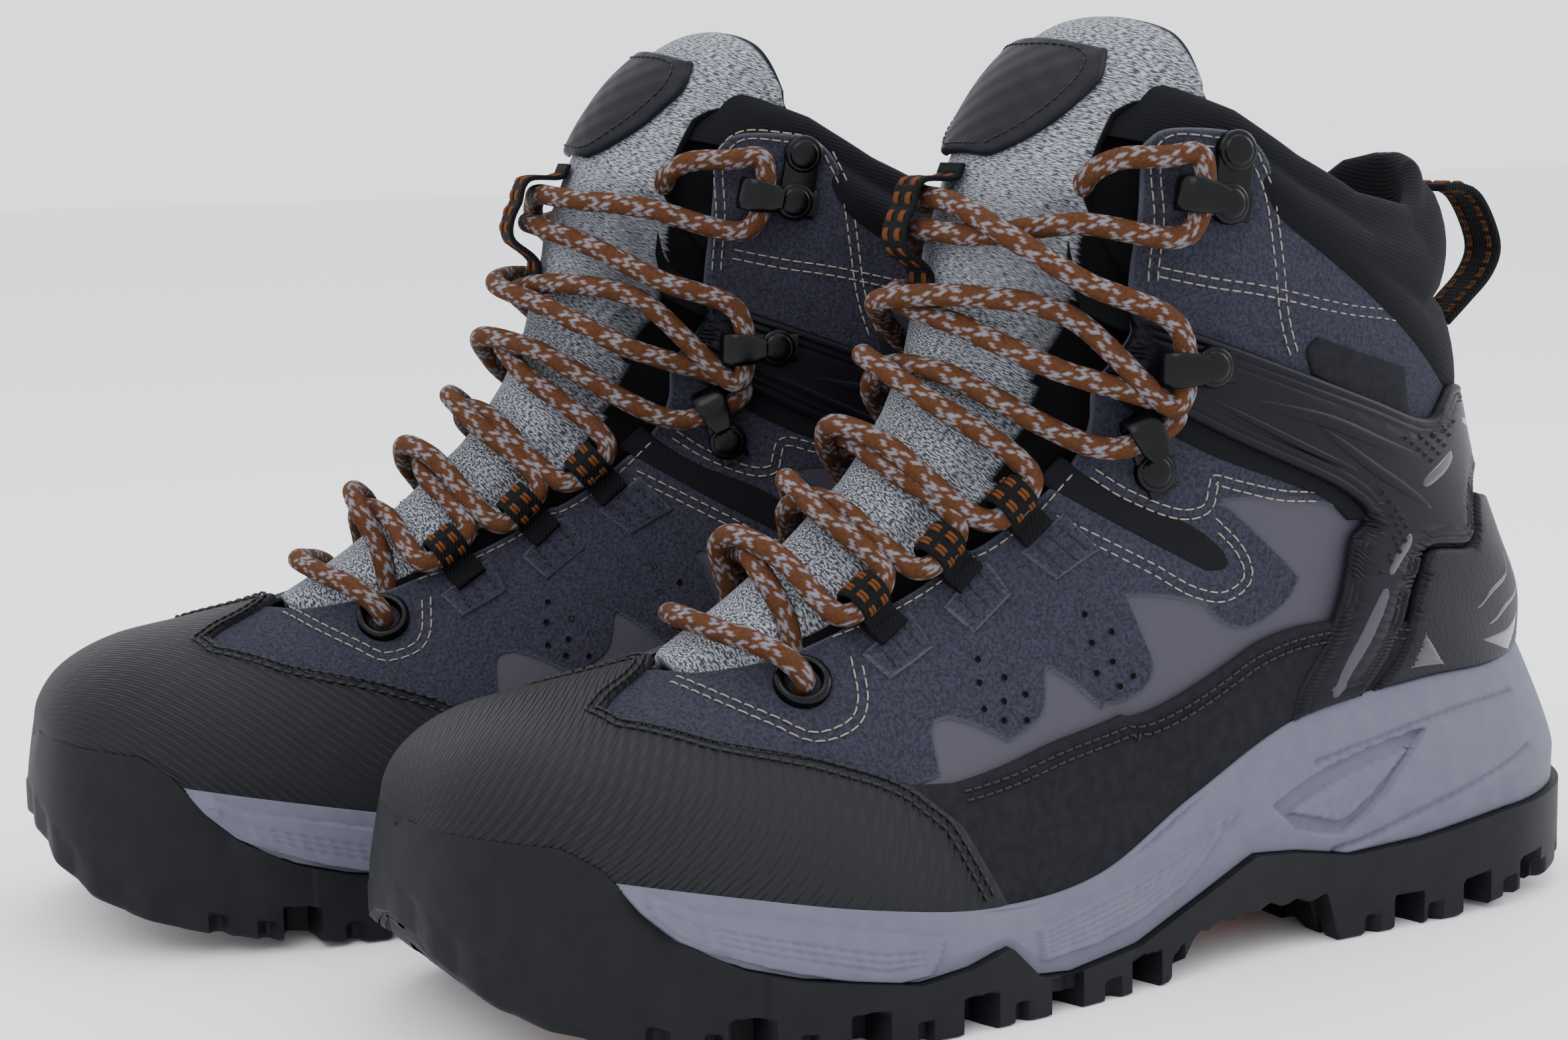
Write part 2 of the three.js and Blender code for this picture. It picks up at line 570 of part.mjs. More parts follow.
// The two strands behind the keeper lie side by side, and cross beside it.
const UNDER_KEEPER = {
  outer: [[13.35, -0.25, 8], [13.3, -0.15, 4.2], [13.2, 0, 3.8], [13.6, 0.11, 4], [15.3, 0.23, 4.8]],
  inner: [[13.6, -0.24, 9.5], [14, -0.15, 9.2], [14.5, -0.07, 4.8], [14.6, 0, 4.1], [14.8, 0.09, 4.2],
    [15.5, 0.22, 5]],
};
const LACE_END = [
  ['hook', 2, 1],
  [17.1, 0.25, 5], [16.3, 0.2, 4], [15.6, 0.205, 1], [15.2, 0.215, -2],
];
const CROSSING_LIFT = 5.5;             // the inner half passes over the outer half at the ridge

function lacePoints(entry, side, raised) {
  const [first, second, third] = entry;
  if (first === 'loop') {
    const frame = loopFrame(LACE_LOOPS[second], third * side);
    return [-6.4, 6.4].map((up) => inFrame(frame, 0, up, 0, third * side));
  }
  if (first === 'hook') {
    const frame = hookFrame(HOOKS[second], third * side);
    const seat = HOOK_METAL_THICK + HOOK_ROOM;
    return [-8, 8.6].map((up) => inFrame(frame, HOOK_REACH, up, seat, third * side));
  }
  const over = raised ? CROSSING_LIFT * Math.min(Math.max((0.2 - Math.abs(second)) / 0.13, 0), 1) : 0;
  return [skin(first, second * side, third + over)];
}

// A route whose tube has one ring at each of its points.
class Route extends THREE.CatmullRomCurve3 {
  constructor(points) {
    super(points, false, 'centripetal');
  }

  getPointAt(t) {
    return this.getPoint(t);
  }

  getTangentAt(t) {
    return this.getTangent(t);
  }
}

function tubeAlong(points) {
  const section = new THREE.Shape();
  for (let k = 0; k < LACE_SIDES; k += 1) {
    const angle = 2 * Math.PI * k / LACE_SIDES;
    const place = [LACE / 2 * Math.cos(angle), LACE / 2 * Math.sin(angle)];
    if (k === 0) section.moveTo(...place);
    else section.lineTo(...place);
  }
  const options = { steps: points.length - 1, extrudePath: new Route(points), bevelEnabled: false };
  return outward(weld(new THREE.ExtrudeGeometry(section, options)));
}

function buildLace() {
  const half = (side, raised, keeper) => [
    ...LACE_BAR.slice(1).flatMap((entry) => lacePoints(entry, side, false)),
    ...LACE_HALF.flatMap((entry) => lacePoints(entry, side, raised)),
    ...[...keeper, ...LACE_END].flatMap((entry) => lacePoints(entry, side, false)),
  ];
  const outerHalf = half(1, false, UNDER_KEEPER.outer);
  const innerHalf = half(-1, true, UNDER_KEEPER.inner);
  return tubeAlong([...outerHalf.reverse(), ...lacePoints(LACE_BAR[0], 1, false), ...innerHalf]);
}

// ---------------------------------------------------------------- sole
// A body of cross sections along y. Each gives the outside, inside, low and high limits.
function soleBody(stations, limits) {
  const rings = stations.map((y) => {
    const { outside, inside, low, high, tuck = 0 } = limits(y);
    const middle = (low + high) / 2;
    return [[-inside, high], [-inside, middle], [-inside + tuck, low], [0, low], [outside - tuck, low],
      [outside, middle], [outside, high], [0, high]].map(([x, z]) => new THREE.Vector3(x, y, z));
  });
  return ringBody(rings);
}

// Height of the line where the upper meets the midsole.
const FEATHER = SKIN_STATIONS.filter((s) => s <= 12).map((s) => station(s).slice(2, 4));
const feather = (y) => follow(FEATHER, y);
const tread = (y) => follow(TREAD, y);

function slotTools() {
  return SLOTS.flatMap((y) => [[1, SOLE_OUTSIDE], [-1, SOLE_INSIDE]].map(([side, line]) => {
    const box = new THREE.BoxGeometry(SLOT.x * 2, SLOT.y, SLOT.z * 2);
    return box.translate(side * (follow(line, y) + 2), y, tread(y));
  }));
}

// The room that the foam takes in the rubber: a cup behind the toe bumper, then the whole width.
// Spare moves its walls in and its floor up, to leave clearance round the foam itself.
function foamRoom(y, spare) {
  const inCup = y - spare < CUP_END + 0.3;
  const inset = inCup ? BUMPER_WALL + spare : -5;
  return {
    outside: follow(SOLE_OUTSIDE, inCup ? y - 1 : y) - inset,
    inside: follow(SOLE_INSIDE, inCup ? y - 1 : y) - inset,
    low: (y + spare < CUP_END + 0.1 ? tread(y) + TREAD_BASE : follow(FOAM_FOOT, y)) + spare,
    high: 80,
  };
}

const FOAM_STEPS = [4, 8, 16, 30, 43, 68, 94, 116, 124, 133, 152, 171, 187, 216, 237, 264, 278];

// Steps of the foam and of the feather line, with those where the floor and then the walls change.
function roomSteps(spare) {
  const cup = [CUP_END - spare, CUP_END + 0.2 - spare, CUP_END + 0.2 + spare, CUP_END + 0.4 + spare];
  return [...FOAM_STEPS, ...cup, ...FEATHER.map(([y]) => y).filter((y) => y > 7)]
    .sort((a, b) => a - b)
    .filter((y, i, all) => i === 0 || y - all[i - 1] > 0.15);
}

function buildOutsole() {
  const ys = [0, 1.5, 4, 8, 14, 20, 28, 36, 43, 56, 72, 94, 106, 116, 124, 133, 152, 160, 164,
    171, 187, 209, 212, 237, 248, 264, 286, 294, 300, 304];
  const rubber = soleBody(ys, (y) => ({
    outside: follow(SOLE_OUTSIDE, y),
    inside: follow(SOLE_INSIDE, y),
    low: tread(y),
    high: y < CUP_END ? follow(FOAM_FOOT, y) : follow(FOAM_FOOT, y) + 3,
    tuck: 2,
  }));
  const room = soleBody([BUMPER_WALL, ...roomSteps(0), 294, 300, 306], (y) => foamRoom(y, 0));
  const recess = soleBody([30, 50, 72, 90, 140, 158, 172, 206], (y) => ({
    outside: PLATE_HALF,
    inside: PLATE_HALF,
    low: -5,
    high: follow(PLATE_TOP, y),
  }));
  return cutAway(rubber, room, recess, ...slotTools());
}

function buildShankPlate() {
  return soleBody([30.5, 50, 72, 90, 140, 158, 172, 205.5], (y) => ({
    outside: PLATE_HALF - GAP,
    inside: PLATE_HALF - GAP,
    low: follow(PLATE_TOP, y) - GAP - PLATE,
    high: follow(PLATE_TOP, y) - GAP,
  }));
}

function buildMidsole() {
  const ys = [...roomSteps(CUP_GAP), 291, 296, 300];
  return soleBody(ys, (y) => {
    const room = foamRoom(y, CUP_GAP);
    const inset = 1 + Math.max(y - 286, 0) * 0.25;
    return {
      outside: Math.min(room.outside, follow(SOLE_OUTSIDE, y) - inset),
      inside: Math.min(room.inside, follow(SOLE_INSIDE, y) - inset),
      low: room.low,
      high: feather(y) - GAP,
    };
  });
}

function buildFootbed() {
  const rings = [2, 3, 4, 5, 6, 7, 8, 9, 10, 11, 11.7].map((s) => {
    const [, , y, , outside, inside, end] = station(s);
    const z = feather(y);
    const room = UPPER + 2.2;
    const left = -(inside * end - room);
    const right = outside * end - room;
    return [[left, z], [right, z], [right - 1, z + FOOTBED], [left + 1, z + FOOTBED]]
      .map(([x, h]) => new THREE.Vector3(x, y, h + 0.1));
  });
  return ringBody(rings);
}

// ---------------------------------------------------------------- heel loop
function buildHeelLoop() {
  const back = 271.5;
  const shape = new THREE.Shape();
  shape.moveTo(back, 166);
  shape.bezierCurveTo(back + 6, 171, back + 13, 168, back + 16.5, 157);
  shape.bezierCurveTo(back + 18, 150, back + 8, 141, back + 1, 134);
  shape.lineTo(back, 136);
  shape.bezierCurveTo(back + 6, 143, back + 15.5, 150, back + 14, 156.5);
  shape.bezierCurveTo(back + 11.5, 165, back + 6, 168, back, 164);
  const options = { depth: 2 * LOOP_HALF, bevelEnabled: false, curveSegments: 6 };
  const band = new THREE.ExtrudeGeometry(shape, options);
  band.translate(0, 0, -LOOP_HALF);
  // Shape x is y here, shape y is z, and depth is x.
  band.applyMatrix4(new THREE.Matrix4().makeBasis(
    new THREE.Vector3(0, 1, 0), new THREE.Vector3(0, 0, 1), new THREE.Vector3(1, 0, 0)));
  return outward(weld(band));
}

// ---------------------------------------------------------------- assembly
function bootPieces() {
  const pieces = [
    ['outsole', buildOutsole(), RUBBER],
    ['midsole', buildMidsole(), FOAM],
    ['shank_plate', buildShankPlate(), ORANGE],
    ['footbed', buildFootbed(), FELT],
    ['upper', buildUpper(), SUEDE],
    ['toe_cap', buildToeCap(), NUBUCK],
    ['rand', buildRand(), NUBUCK],
    ['heel_counter', buildHeelCounter(), MOULDED],
    ['ankle_cage', buildAnkleCage(), MOULDED],
    ['collar', buildCollar(), KNIT_BLACK],
    ['tongue', buildTongue(), KNIT_GREY],
    ['tongue_flap', buildTongueFlap(), KNIT_GREY],
    ['tongue_label', buildTongueLabel(), LABEL],
    ['lace_keeper', buildLaceKeeper(), WEBBING],
    ['lace', buildLace(), LACE_BROWN],
    ['heel_loop', buildHeelLoop(), WEBBING],
  ];
  for (const [side, word] of [[1, 'outer'], [-1, 'inner']]) {
    pieces.push([`eyelet_${word}`, buildEyelet([EYELET[0], EYELET[1] * side]), HOOK_METAL]);
    LACE_LOOPS.forEach((place, k) => {
      pieces.push([`lace_loop_${word}_${k + 1}`, buildLaceLoop(place, side), WEBBING]);
    });
    HOOKS.forEach((place, k) => {
      pieces.push([`lace_hook_${word}_${k + 1}`, buildHook(place, side), HOOK_METAL]);
    });
  }
  return pieces;
}

// The same body seen in a mirror across x = 0 when side is -1.
function mirrored(source, side = -1) {
  const geometry = source.clone();
  if (side > 0) return geometry;
  geometry.scale(-1, 1, 1);
  return outward(geometry);
}

function boot(prefix, side, pieces) {
  const group = new THREE.Group();
  for (const [name, geometry, material] of pieces) {
    const mesh = new THREE.Mesh(side > 0 ? geometry : mirrored(geometry), material);
    mesh.name = `${prefix}_${name}`;
    mesh.position.y = -HALF_LENGTH;
    group.add(mesh);
  }
  group.rotation.z = side * THREE.MathUtils.degToRad(SPLAY);
  group.position.set(side * PAIR.x / 2, side * PAIR.y / 2, 0);
  return group;
}

const pair = new THREE.Group();
const pieces = bootPieces();
pair.add(boot('left', 1, pieces), boot('right', -1, pieces));
pair.position.y = -PAIR_MIDDLE;

export default pair;
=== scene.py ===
"""A pair of lace-up hiking boots: the looks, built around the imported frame.

One boot is described in its own frame, in millimetres: x outwards, y from the toe tip to the heel,
z up. Each piece is made once there, then put in the row's frame for the left boot and mirrored for
the right one."""
import math

import bpy
import numpy as np
from mathutils import Matrix, Vector
from mathutils.geometry import delaunay_2d_cdt


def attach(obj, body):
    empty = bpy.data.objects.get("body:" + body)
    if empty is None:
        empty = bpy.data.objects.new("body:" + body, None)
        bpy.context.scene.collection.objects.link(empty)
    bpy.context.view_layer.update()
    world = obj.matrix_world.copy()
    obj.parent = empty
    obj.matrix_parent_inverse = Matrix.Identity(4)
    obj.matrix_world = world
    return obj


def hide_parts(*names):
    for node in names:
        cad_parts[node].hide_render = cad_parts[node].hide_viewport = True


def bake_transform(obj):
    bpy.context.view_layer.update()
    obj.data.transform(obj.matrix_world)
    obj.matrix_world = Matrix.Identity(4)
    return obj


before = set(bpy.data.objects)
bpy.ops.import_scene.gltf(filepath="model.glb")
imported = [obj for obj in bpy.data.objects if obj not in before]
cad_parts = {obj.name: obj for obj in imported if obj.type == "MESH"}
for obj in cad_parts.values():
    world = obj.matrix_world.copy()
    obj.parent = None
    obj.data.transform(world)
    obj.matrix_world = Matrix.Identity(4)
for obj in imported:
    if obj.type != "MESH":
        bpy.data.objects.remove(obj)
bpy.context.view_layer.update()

# ---------------------------------------------------------------- driving sizes, in millimetres
SPLAY = math.radians(4.2)      # each boot turns out by this much
PAIR = (104, 54)               # spacing of the boots across and along
PAIR_MIDDLE = 1.995
HALF_LENGTH = 150
UPPER = 2.4                    # thickness of the shell
RAND = 1.2                     # thickness of the nubuck band
MOULD_BASE = 0.9               # lift of the moulded counter and cage at their edges
MOULD_FACE = 2.5               # and on their faces
LACE = 5.0                     # diameter of the lace
WEB_WIDE = 10                  # widths of the webbing: keeper, lace loops and heel loop
WEB_LOOP = 8
WEB_HEEL = 12
MM = 0.001
CREAM_STITCH = {"pitch": 2.9, "length": 2.1, "radius": 0.2}
BLACK_STITCH = {"pitch": 2.5, "length": 1.9, "radius": 0.34}
FINE_STITCH = {"pitch": 2.2, "length": 1.6, "radius": 0.2}
TACK_STITCH = {"pitch": 2.2, "length": 1.6, "radius": 0.22}
COLLAR_STITCH = {"pitch": 2.4, "length": 1.7, "radius": 0.22}

# The skin's stations, from the toe up to the collar: front y, front z, back y, back z, half width
# outside, half width inside, how far the section is open at its back end, and its squareness.
STATIONS = np.array([
    (4.5, 46, 4.5, 44, 0, 0, 1, 2),
    (6, 53, 9, 42, 18, 20, 1, 2.1),
    (12, 60, 18, 41, 30, 32, 1, 2.2),
    (24, 65.5, 33, 38, 40, 42, 1, 2.2),
    (42, 69, 57, 33, 47, 46, 1, 2.1),
    (60, 74, 86, 27, 51, 46, 1, 1.9),
    (78, 85, 114, 23, 50, 42, 1, 1.75),
    (96, 99, 143, 25, 46, 38, 1, 1.7),
    (111, 113, 172, 38, 41, 36, 1, 1.75),
    (120, 126, 205, 51, 38, 35, 0.95, 1.8),
    (125, 137, 243, 55, 37, 35, 0.86, 1.9),
    (128, 147, 270, 55, 37, 35, 0.66, 2),
    (130, 155, 287, 57, 37, 35, 0.3, 2),
    (131, 161, 291, 66, 37, 35, 0, 2),
    (133, 166, 284, 82, 37, 35, 0, 2),
    (135, 171, 276, 100, 37, 36, 0, 2),
    (138, 178, 270, 122, 38, 37, 0, 2),
    (143, 187, 267, 145, 38, 38, 0, 2),
    (151, 197, 265, 163, 38, 38, 0, 2),
    (162, 206, 263, 178, 38, 38, 0, 2),
])
TOP = len(STATIONS) - 1


# ---------------------------------------------------------------- the skin
def stations(s):
    """The values of STATIONS between its rows, on a smooth curve."""
    s = np.clip(s, 0, TOP - 1e-6)
    k = np.floor(s).astype(int)
    a = STATIONS[np.maximum(k - 1, 0)]
    b = STATIONS[k]
    c = STATIONS[k + 1]
    d = STATIONS[np.minimum(k + 2, TOP)]
    t = (s - k)[..., None]
    return 0.5 * (2 * b + (c - a) * t + (2 * a - 5 * b + 4 * c - d) * t**2
                  + (3 * b - a - 3 * c + d) * t**3)


def skin_point(s, g):
    """Points on the boot's skin. Girth g is 0 on the ridge, 1 and -1 at the lower edge or back seam."""
    s, g = np.broadcast_arrays(np.asarray(s, float), np.asarray(g, float))
    g = np.where(g > 1, g - 2, np.where(g < -1, g + 2, g))
    front_y, front_z, back_y, back_z, outside, inside, end, square = np.moveaxis(stations(s), -1, 0)
    last = math.pi - np.arcsin(np.clip(end, 0, 1))
    angle = np.abs(g) * last
    across = np.abs(np.sin(angle)) ** (2 / square)

    def power(value):
        return np.sign(value) * np.abs(value) ** (2 / square)

    along = (1 - power(np.cos(angle))) / (1 - power(np.cos(last)))
    x = np.where(g >= 0, outside * across, -inside * across)
    y = front_y + (back_y - front_y) * along
    z = front_z + (back_z - front_z) * along
    return np.stack([x, y, z], -1)


def skin_normal(s, g):
    """The skin's outward direction."""
    step = 0.006
    s, g = np.broadcast_arrays(np.asarray(s, float), np.asarray(g, float))
    closed = stations(s)[..., 6] < 0.001
    edge = np.where(closed, 3.0, 1.0)
    along_s = skin_point(np.minimum(s + step, TOP - 1e-4), g) - skin_point(np.maximum(s - step, 0.02), g)
    along_g = (skin_point(s, np.clip(g + step, -edge, edge))
               - skin_point(s, np.clip(g - step, -edge, edge)))
    return unit(np.cross(along_g, along_s), 1e-9)


def skin(s, g, lift=0.0):
    """Points at a lift in millimetres above the skin."""
    return skin_point(s, g) + skin_normal(s, g) * np.asarray(lift, float)[..., None]


def smoothstep(low, high, value):
    t = np.clip((value - low) / (high - low), 0, 1)
    return t * t * (3 - 2 * t)


# ---------------------------------------------------------------- curves and bodies
def unit(vectors, floor=0.0):
    """Vectors along the last axis, made 1 long."""
    return vectors / np.maximum(np.linalg.norm(vectors, axis=-1, keepdims=True), floor)


def run_along(points):
    """The distance along a polyline at each of its points."""
    return np.concatenate([[0], np.cumsum(np.linalg.norm(np.diff(points, axis=0), axis=1))])


def at_runs(run, values, at):
    """Values known at run, at other distances along the same line."""
    return np.stack([np.interp(at, run, column) for column in values.T], -1)


def spline(points, spacing, closed=False):
    """Even steps along a centripetal Catmull-Rom curve through points of any dimension."""
    p = np.asarray(points, float)
    if closed:
        p = np.vstack([p[-1], p, p[0], p[1]])
    else:
        p = np.vstack([2 * p[0] - p[1], p, 2 * p[-1] - p[-2]])
    out = []
    for a, b, c, d in zip(p, p[1:], p[2:], p[3:]):
        k = [0.0]
        for u, v in ((a, b), (b, c), (c, d)):
            k.append(k[-1] + max(np.linalg.norm(v - u), 1e-6) ** 0.5)
        t = np.linspace(k[1], k[2], 24, endpoint=False)[:, None]
        ab = (k[1] - t) / (k[1] - k[0]) * a + (t - k[0]) / (k[1] - k[0]) * b
        bc = (k[2] - t) / (k[2] - k[1]) * b + (t - k[1]) / (k[2] - k[1]) * c
        cd = (k[3] - t) / (k[3] - k[2]) * c + (t - k[2]) / (k[3] - k[2]) * d
        abc = (k[2] - t) / (k[2] - k[0]) * ab + (t - k[0]) / (k[2] - k[0]) * bc
        bcd = (k[3] - t) / (k[3] - k[1]) * bc + (t - k[1]) / (k[3] - k[1]) * cd
        out.append((k[2] - t) / (k[2] - k[1]) * abc + (t - k[1]) / (k[2] - k[1]) * bcd)
    fine = np.vstack(out + [p[-2][None]])
    return even(fine, spacing, closed)


def even(points, spacing, closed=False):
    """Points at even steps along a polyline."""
    points = np.asarray(points, float)
    run = run_along(points)
    count = max(int(round(run[-1] / spacing)), 2)
    at = np.linspace(0, run[-1], count + 1)
    return at_runs(run, points, at[:-1] if closed else at)


class Shape:
    """Points, faces, and for each point a tint from 0 to 1 and a chart place in millimetres."""

    def __init__(self):
        self.points = []
        self.faces = []
        self.tint = []
        self.chart = []
        self.count = 0

    def add(self, points, faces, tint=0.0, chart=None):
        points = np.asarray(points, float).reshape(-1, 3)
        self.points.append(points)
        self.faces.append(np.asarray(faces, int) + self.count)
        self.tint.append(np.broadcast_to(tint, len(points)).astype(float))
        self.chart.append(points if chart is None else np.asarray(chart, float).reshape(-1, 3))
        self.count += len(points)
        return self


def grid_faces(rows, columns, ring=False):
    """Quads of a grid of points in row order. A ring joins the last column to the first."""
    i, j = np.meshgrid(np.arange(rows - 1), np.arange(columns if ring else columns - 1), indexing="ij")
    a = (i * columns + j).ravel()
    b = (i * columns + (j + 1) % columns).ravel()
    return np.stack([a, b, b + columns, a + columns], -1)


def sweep(path, section, up=None):
    """A section of (sideways, upwards) points moved along a path and capped at both ends. Up is one
    direction for each point."""
    path = np.asarray(path, float)
    section = np.asarray(section, float)
    tangent = unit(np.gradient(path, axis=0))
    if up is None:
        up = carried(tangent)
    up = unit(up - tangent * np.sum(up * tangent, axis=1, keepdims=True))
    side = np.cross(tangent, up)
    if section.ndim == 2:
        section = np.broadcast_to(section, (len(path),) + section.shape)
    points = (path[:, None] + side[:, None] * section[..., :1] + up[:, None] * section[..., 1:])
    count = section.shape[1]
    faces = grid_faces(len(path), count, ring=True)
    fans = []
    for first, flip in ((0, False), ((len(path) - 1) * count, True)):
        ring = [first + k for k in range(count)]
        middle = len(path) * count + len(fans) // count
        for k in range(count):
            a, b = ring[k], ring[(k + 1) % count]
            fans.append((middle, a, b, b) if flip else (middle, b, a, a))
    middles = [points[0].mean(0), points[-1].mean(0)]
    return np.vstack([points.reshape(-1, 3), middles]), np.vstack([faces, fans])


def carried(tangent):
    """A direction across each tangent that turns as little as it can along the path."""
    start = np.cross(tangent[0], (0.0, 0.0, 1.0))
    if np.linalg.norm(start) < 0.1:
        start = np.cross(tangent[0], (1.0, 0.0, 0.0))
    ups = [start / np.linalg.norm(start)]
    for t in tangent[1:]:
        up = ups[-1] - t * ups[-1].dot(t)
        ups.append(up / np.linalg.norm(up))
    return np.array(ups)


def circle(radius, count):
    angle = np.arange(count) * 2 * math.pi / count
    return np.stack([radius * np.cos(angle), radius * np.sin(angle)], -1)


def rounded(width, height, radius, count=3):
    """A rounded rectangle as a section."""
    points = []
    for quarter, (sx, sy) in enumerate(((1, 1), (-1, 1), (-1, -1), (1, -1))):
        for k in range(count + 1):
            angle = math.pi / 2 * (quarter + k / count)
            points.append((sx * (width / 2 - radius) + radius * math.cos(angle),
                           sy * (height / 2 - radius) + radius * math.sin(angle)))
    return np.array(points)


# ---------------------------------------------------------------- making the pieces of both boots
BOOTS = (("left", 1), ("right", -1))


def boot_matrix(side):
    return (Matrix.Translation((side * PAIR[0] / 2 * MM, (side * PAIR[1] / 2 - PAIR_MIDDLE) * MM, 0))
            @ Matrix.Rotation(side * SPLAY, 4, "Z")
            @ Matrix.Translation((0, -HALF_LENGTH * MM, 0))
            @ Matrix.Diagonal((side * MM, MM, MM, 1)))


def to_row(points, side):
    matrix = np.array(boot_matrix(side))
    return np.asarray(points) @ matrix[:3, :3].T + matrix[:3, 3]


def build(name, shape, material, body="boot", nodes=(), angle=None):
    """Makes the piece on both boots, riding on its body and standing for its CAD nodes. Faces that
    meet at more than angle, in degrees, keep a sharp edge."""
    made = []
    points = np.vstack(shape.points)
    faces = np.vstack([f if f.shape[1] == 4 else np.hstack([f, f[:, 2:3]]) for f in shape.faces])
    tint = np.concatenate(shape.tint)
    chart = np.vstack(shape.chart)
    for prefix, side in BOOTS:
        mesh = bpy.data.meshes.new(f"{prefix}_{name}")
        order = faces if side > 0 else faces[:, ::-1]
        polygons = [tuple(dict.fromkeys(row)) for row in order.tolist()]
        mesh.from_pydata(to_row(points, side).tolist(), [], [p for p in polygons if len(p) > 2])
        mesh.attributes.new("tint", "FLOAT", "POINT").data.foreach_set("value", tint.astype(np.float32))
        mesh.attributes.new("chart", "FLOAT_VECTOR", "POINT").data.foreach_set(
            "vector", chart.astype(np.float32).ravel())
        mesh.materials.append(material)
        mesh.shade_smooth()
        if angle:
            mesh.set_sharp_from_angle(angle=math.radians(angle))
        obj = bpy.data.objects.new(f"{prefix}_{name}_look", mesh)
        bpy.context.scene.collection.objects.link(obj)
        if body:
            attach(obj, f"{prefix}_{body}")
        if nodes:
            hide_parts(*[f"{prefix}_{node}" for node in nodes])
        made.append(obj)
    return made


# ---------------------------------------------------------------- patches on the skin
# Places on the skin are (station, girth) pairs, written for the outer side.
SCALE = np.array([12.0, 105.0])        # rough millimetres for one station and for the whole girth


TRACE_STEP = 1.1                       # millimetres between an outline's points


def trace(runs):
    """A closed outline from runs of (station, girth) points. Each run is smooth, and corners fall
    between runs. Gives the points and which run each came from."""
    points = []
    owner = []
    for k, run in enumerate(runs):
        run = np.asarray(run, float)
        line = run if len(run) == 2 else spline(run * SCALE, 0.5) / SCALE
        fine = []
        for a, b in zip(line, line[1:]):
            fine += [a + (b - a) * t for t in np.linspace(0, 1, 8 if len(run) > 2 else 60)[:-1]]
        fine.append(line[-1])
        fine = np.array(fine)
        length = run_along(skin_point(fine[:, 0], fine[:, 1]))
        count = max(int(round(length[-1] / TRACE_STEP)), 1)
        points.append(at_runs(length, fine, np.linspace(0, length[-1], count + 1)[:-1]))
        owner += [k] * count
    return np.vstack(points), np.array(owner)


def inwards(loop):
    """For each point of an outline, the step in station and girth that moves it 1 mm inwards."""
    s, g = loop.T
    step = 0.01
    ds = (skin_point(s + step, g) - skin_point(s - step, g)) / (2 * step)
    dg = (skin_point(s, g + step) - skin_point(s, g - step)) / (2 * step)
    metric = np.stack([np.sum(ds * ds, -1), np.sum(ds * dg, -1), np.sum(dg * dg, -1)])
    t = np.roll(loop, -1, 0) - np.roll(loop, 1, 0)
    root = np.sqrt(np.maximum(metric[0] * metric[2] - metric[1] ** 2, 1e-9))
    w0 = -t[:, 1] * root
    w1 = t[:, 0] * root
    det = root**2
    n = np.stack([(metric[2] * w0 - metric[1] * w1) / det, (metric[0] * w1 - metric[1] * w0) / det], -1)
    size = np.sqrt(metric[0] * n[:, 0] ** 2 + 2 * metric[1] * n[:, 0] * n[:, 1] + metric[2] * n[:, 1] ** 2)
    area = np.sum(loop[:, 0] * np.roll(loop[:, 1], -1) - np.roll(loop[:, 0], -1) * loop[:, 1])
    return n / np.maximum(size, 1e-9)[:, None] * (1 if area > 0 else -1)


def inside(loop, points):
    """Which points are inside a closed outline."""
    x, y = points.T
    hit = np.zeros(len(points), bool)
    for (x0, y0), (x1, y1) in zip(loop, np.roll(loop, -1, 0)):
        crosses = (y0 > y) != (y1 > y)
        if y1 != y0:
            hit ^= crosses & (x < (x1 - x0) * (y - y0) / (y1 - y0) + x0)
    return hit


def nearest(points, line):
    """Distance of each point to the closest of a line's points."""
    out = np.empty(len(points))
    for k in range(0, len(points), 2000):
        part = points[k:k + 2000]
        out[k:k + 2000] = np.sqrt(((part[:, None] - line[None]) ** 2).sum(-1).min(1))
    return out


def cells_between(low, high, cell):
    """Staggered rows of points that fill a box of stations and girths, about a cell apart."""
    cells = []
    width = np.linalg.norm(np.diff(skin_point(np.arange(low[0], high[0], 0.1), 0.5), axis=0), axis=1)
    count_s = max(int(width.sum() / cell), 3)
    for n, s in enumerate(np.linspace(low[0], high[0], count_s + 1)):
        ring = skin_point(np.full(25, s), np.linspace(low[1], high[1], 25))
        around = np.linalg.norm(np.diff(ring, axis=0), axis=1).sum()
        count = max(int(around / cell), 2)
        gs = np.linspace(low[1], high[1], count + 1) + (0.5 if n % 2 else 0) * (high[1] - low[1]) / count
        cells.append(np.stack([np.full(len(gs), s), gs], -1))
    cells = np.vstack(cells)
    return cells[cells[:, 1] < high[1]]


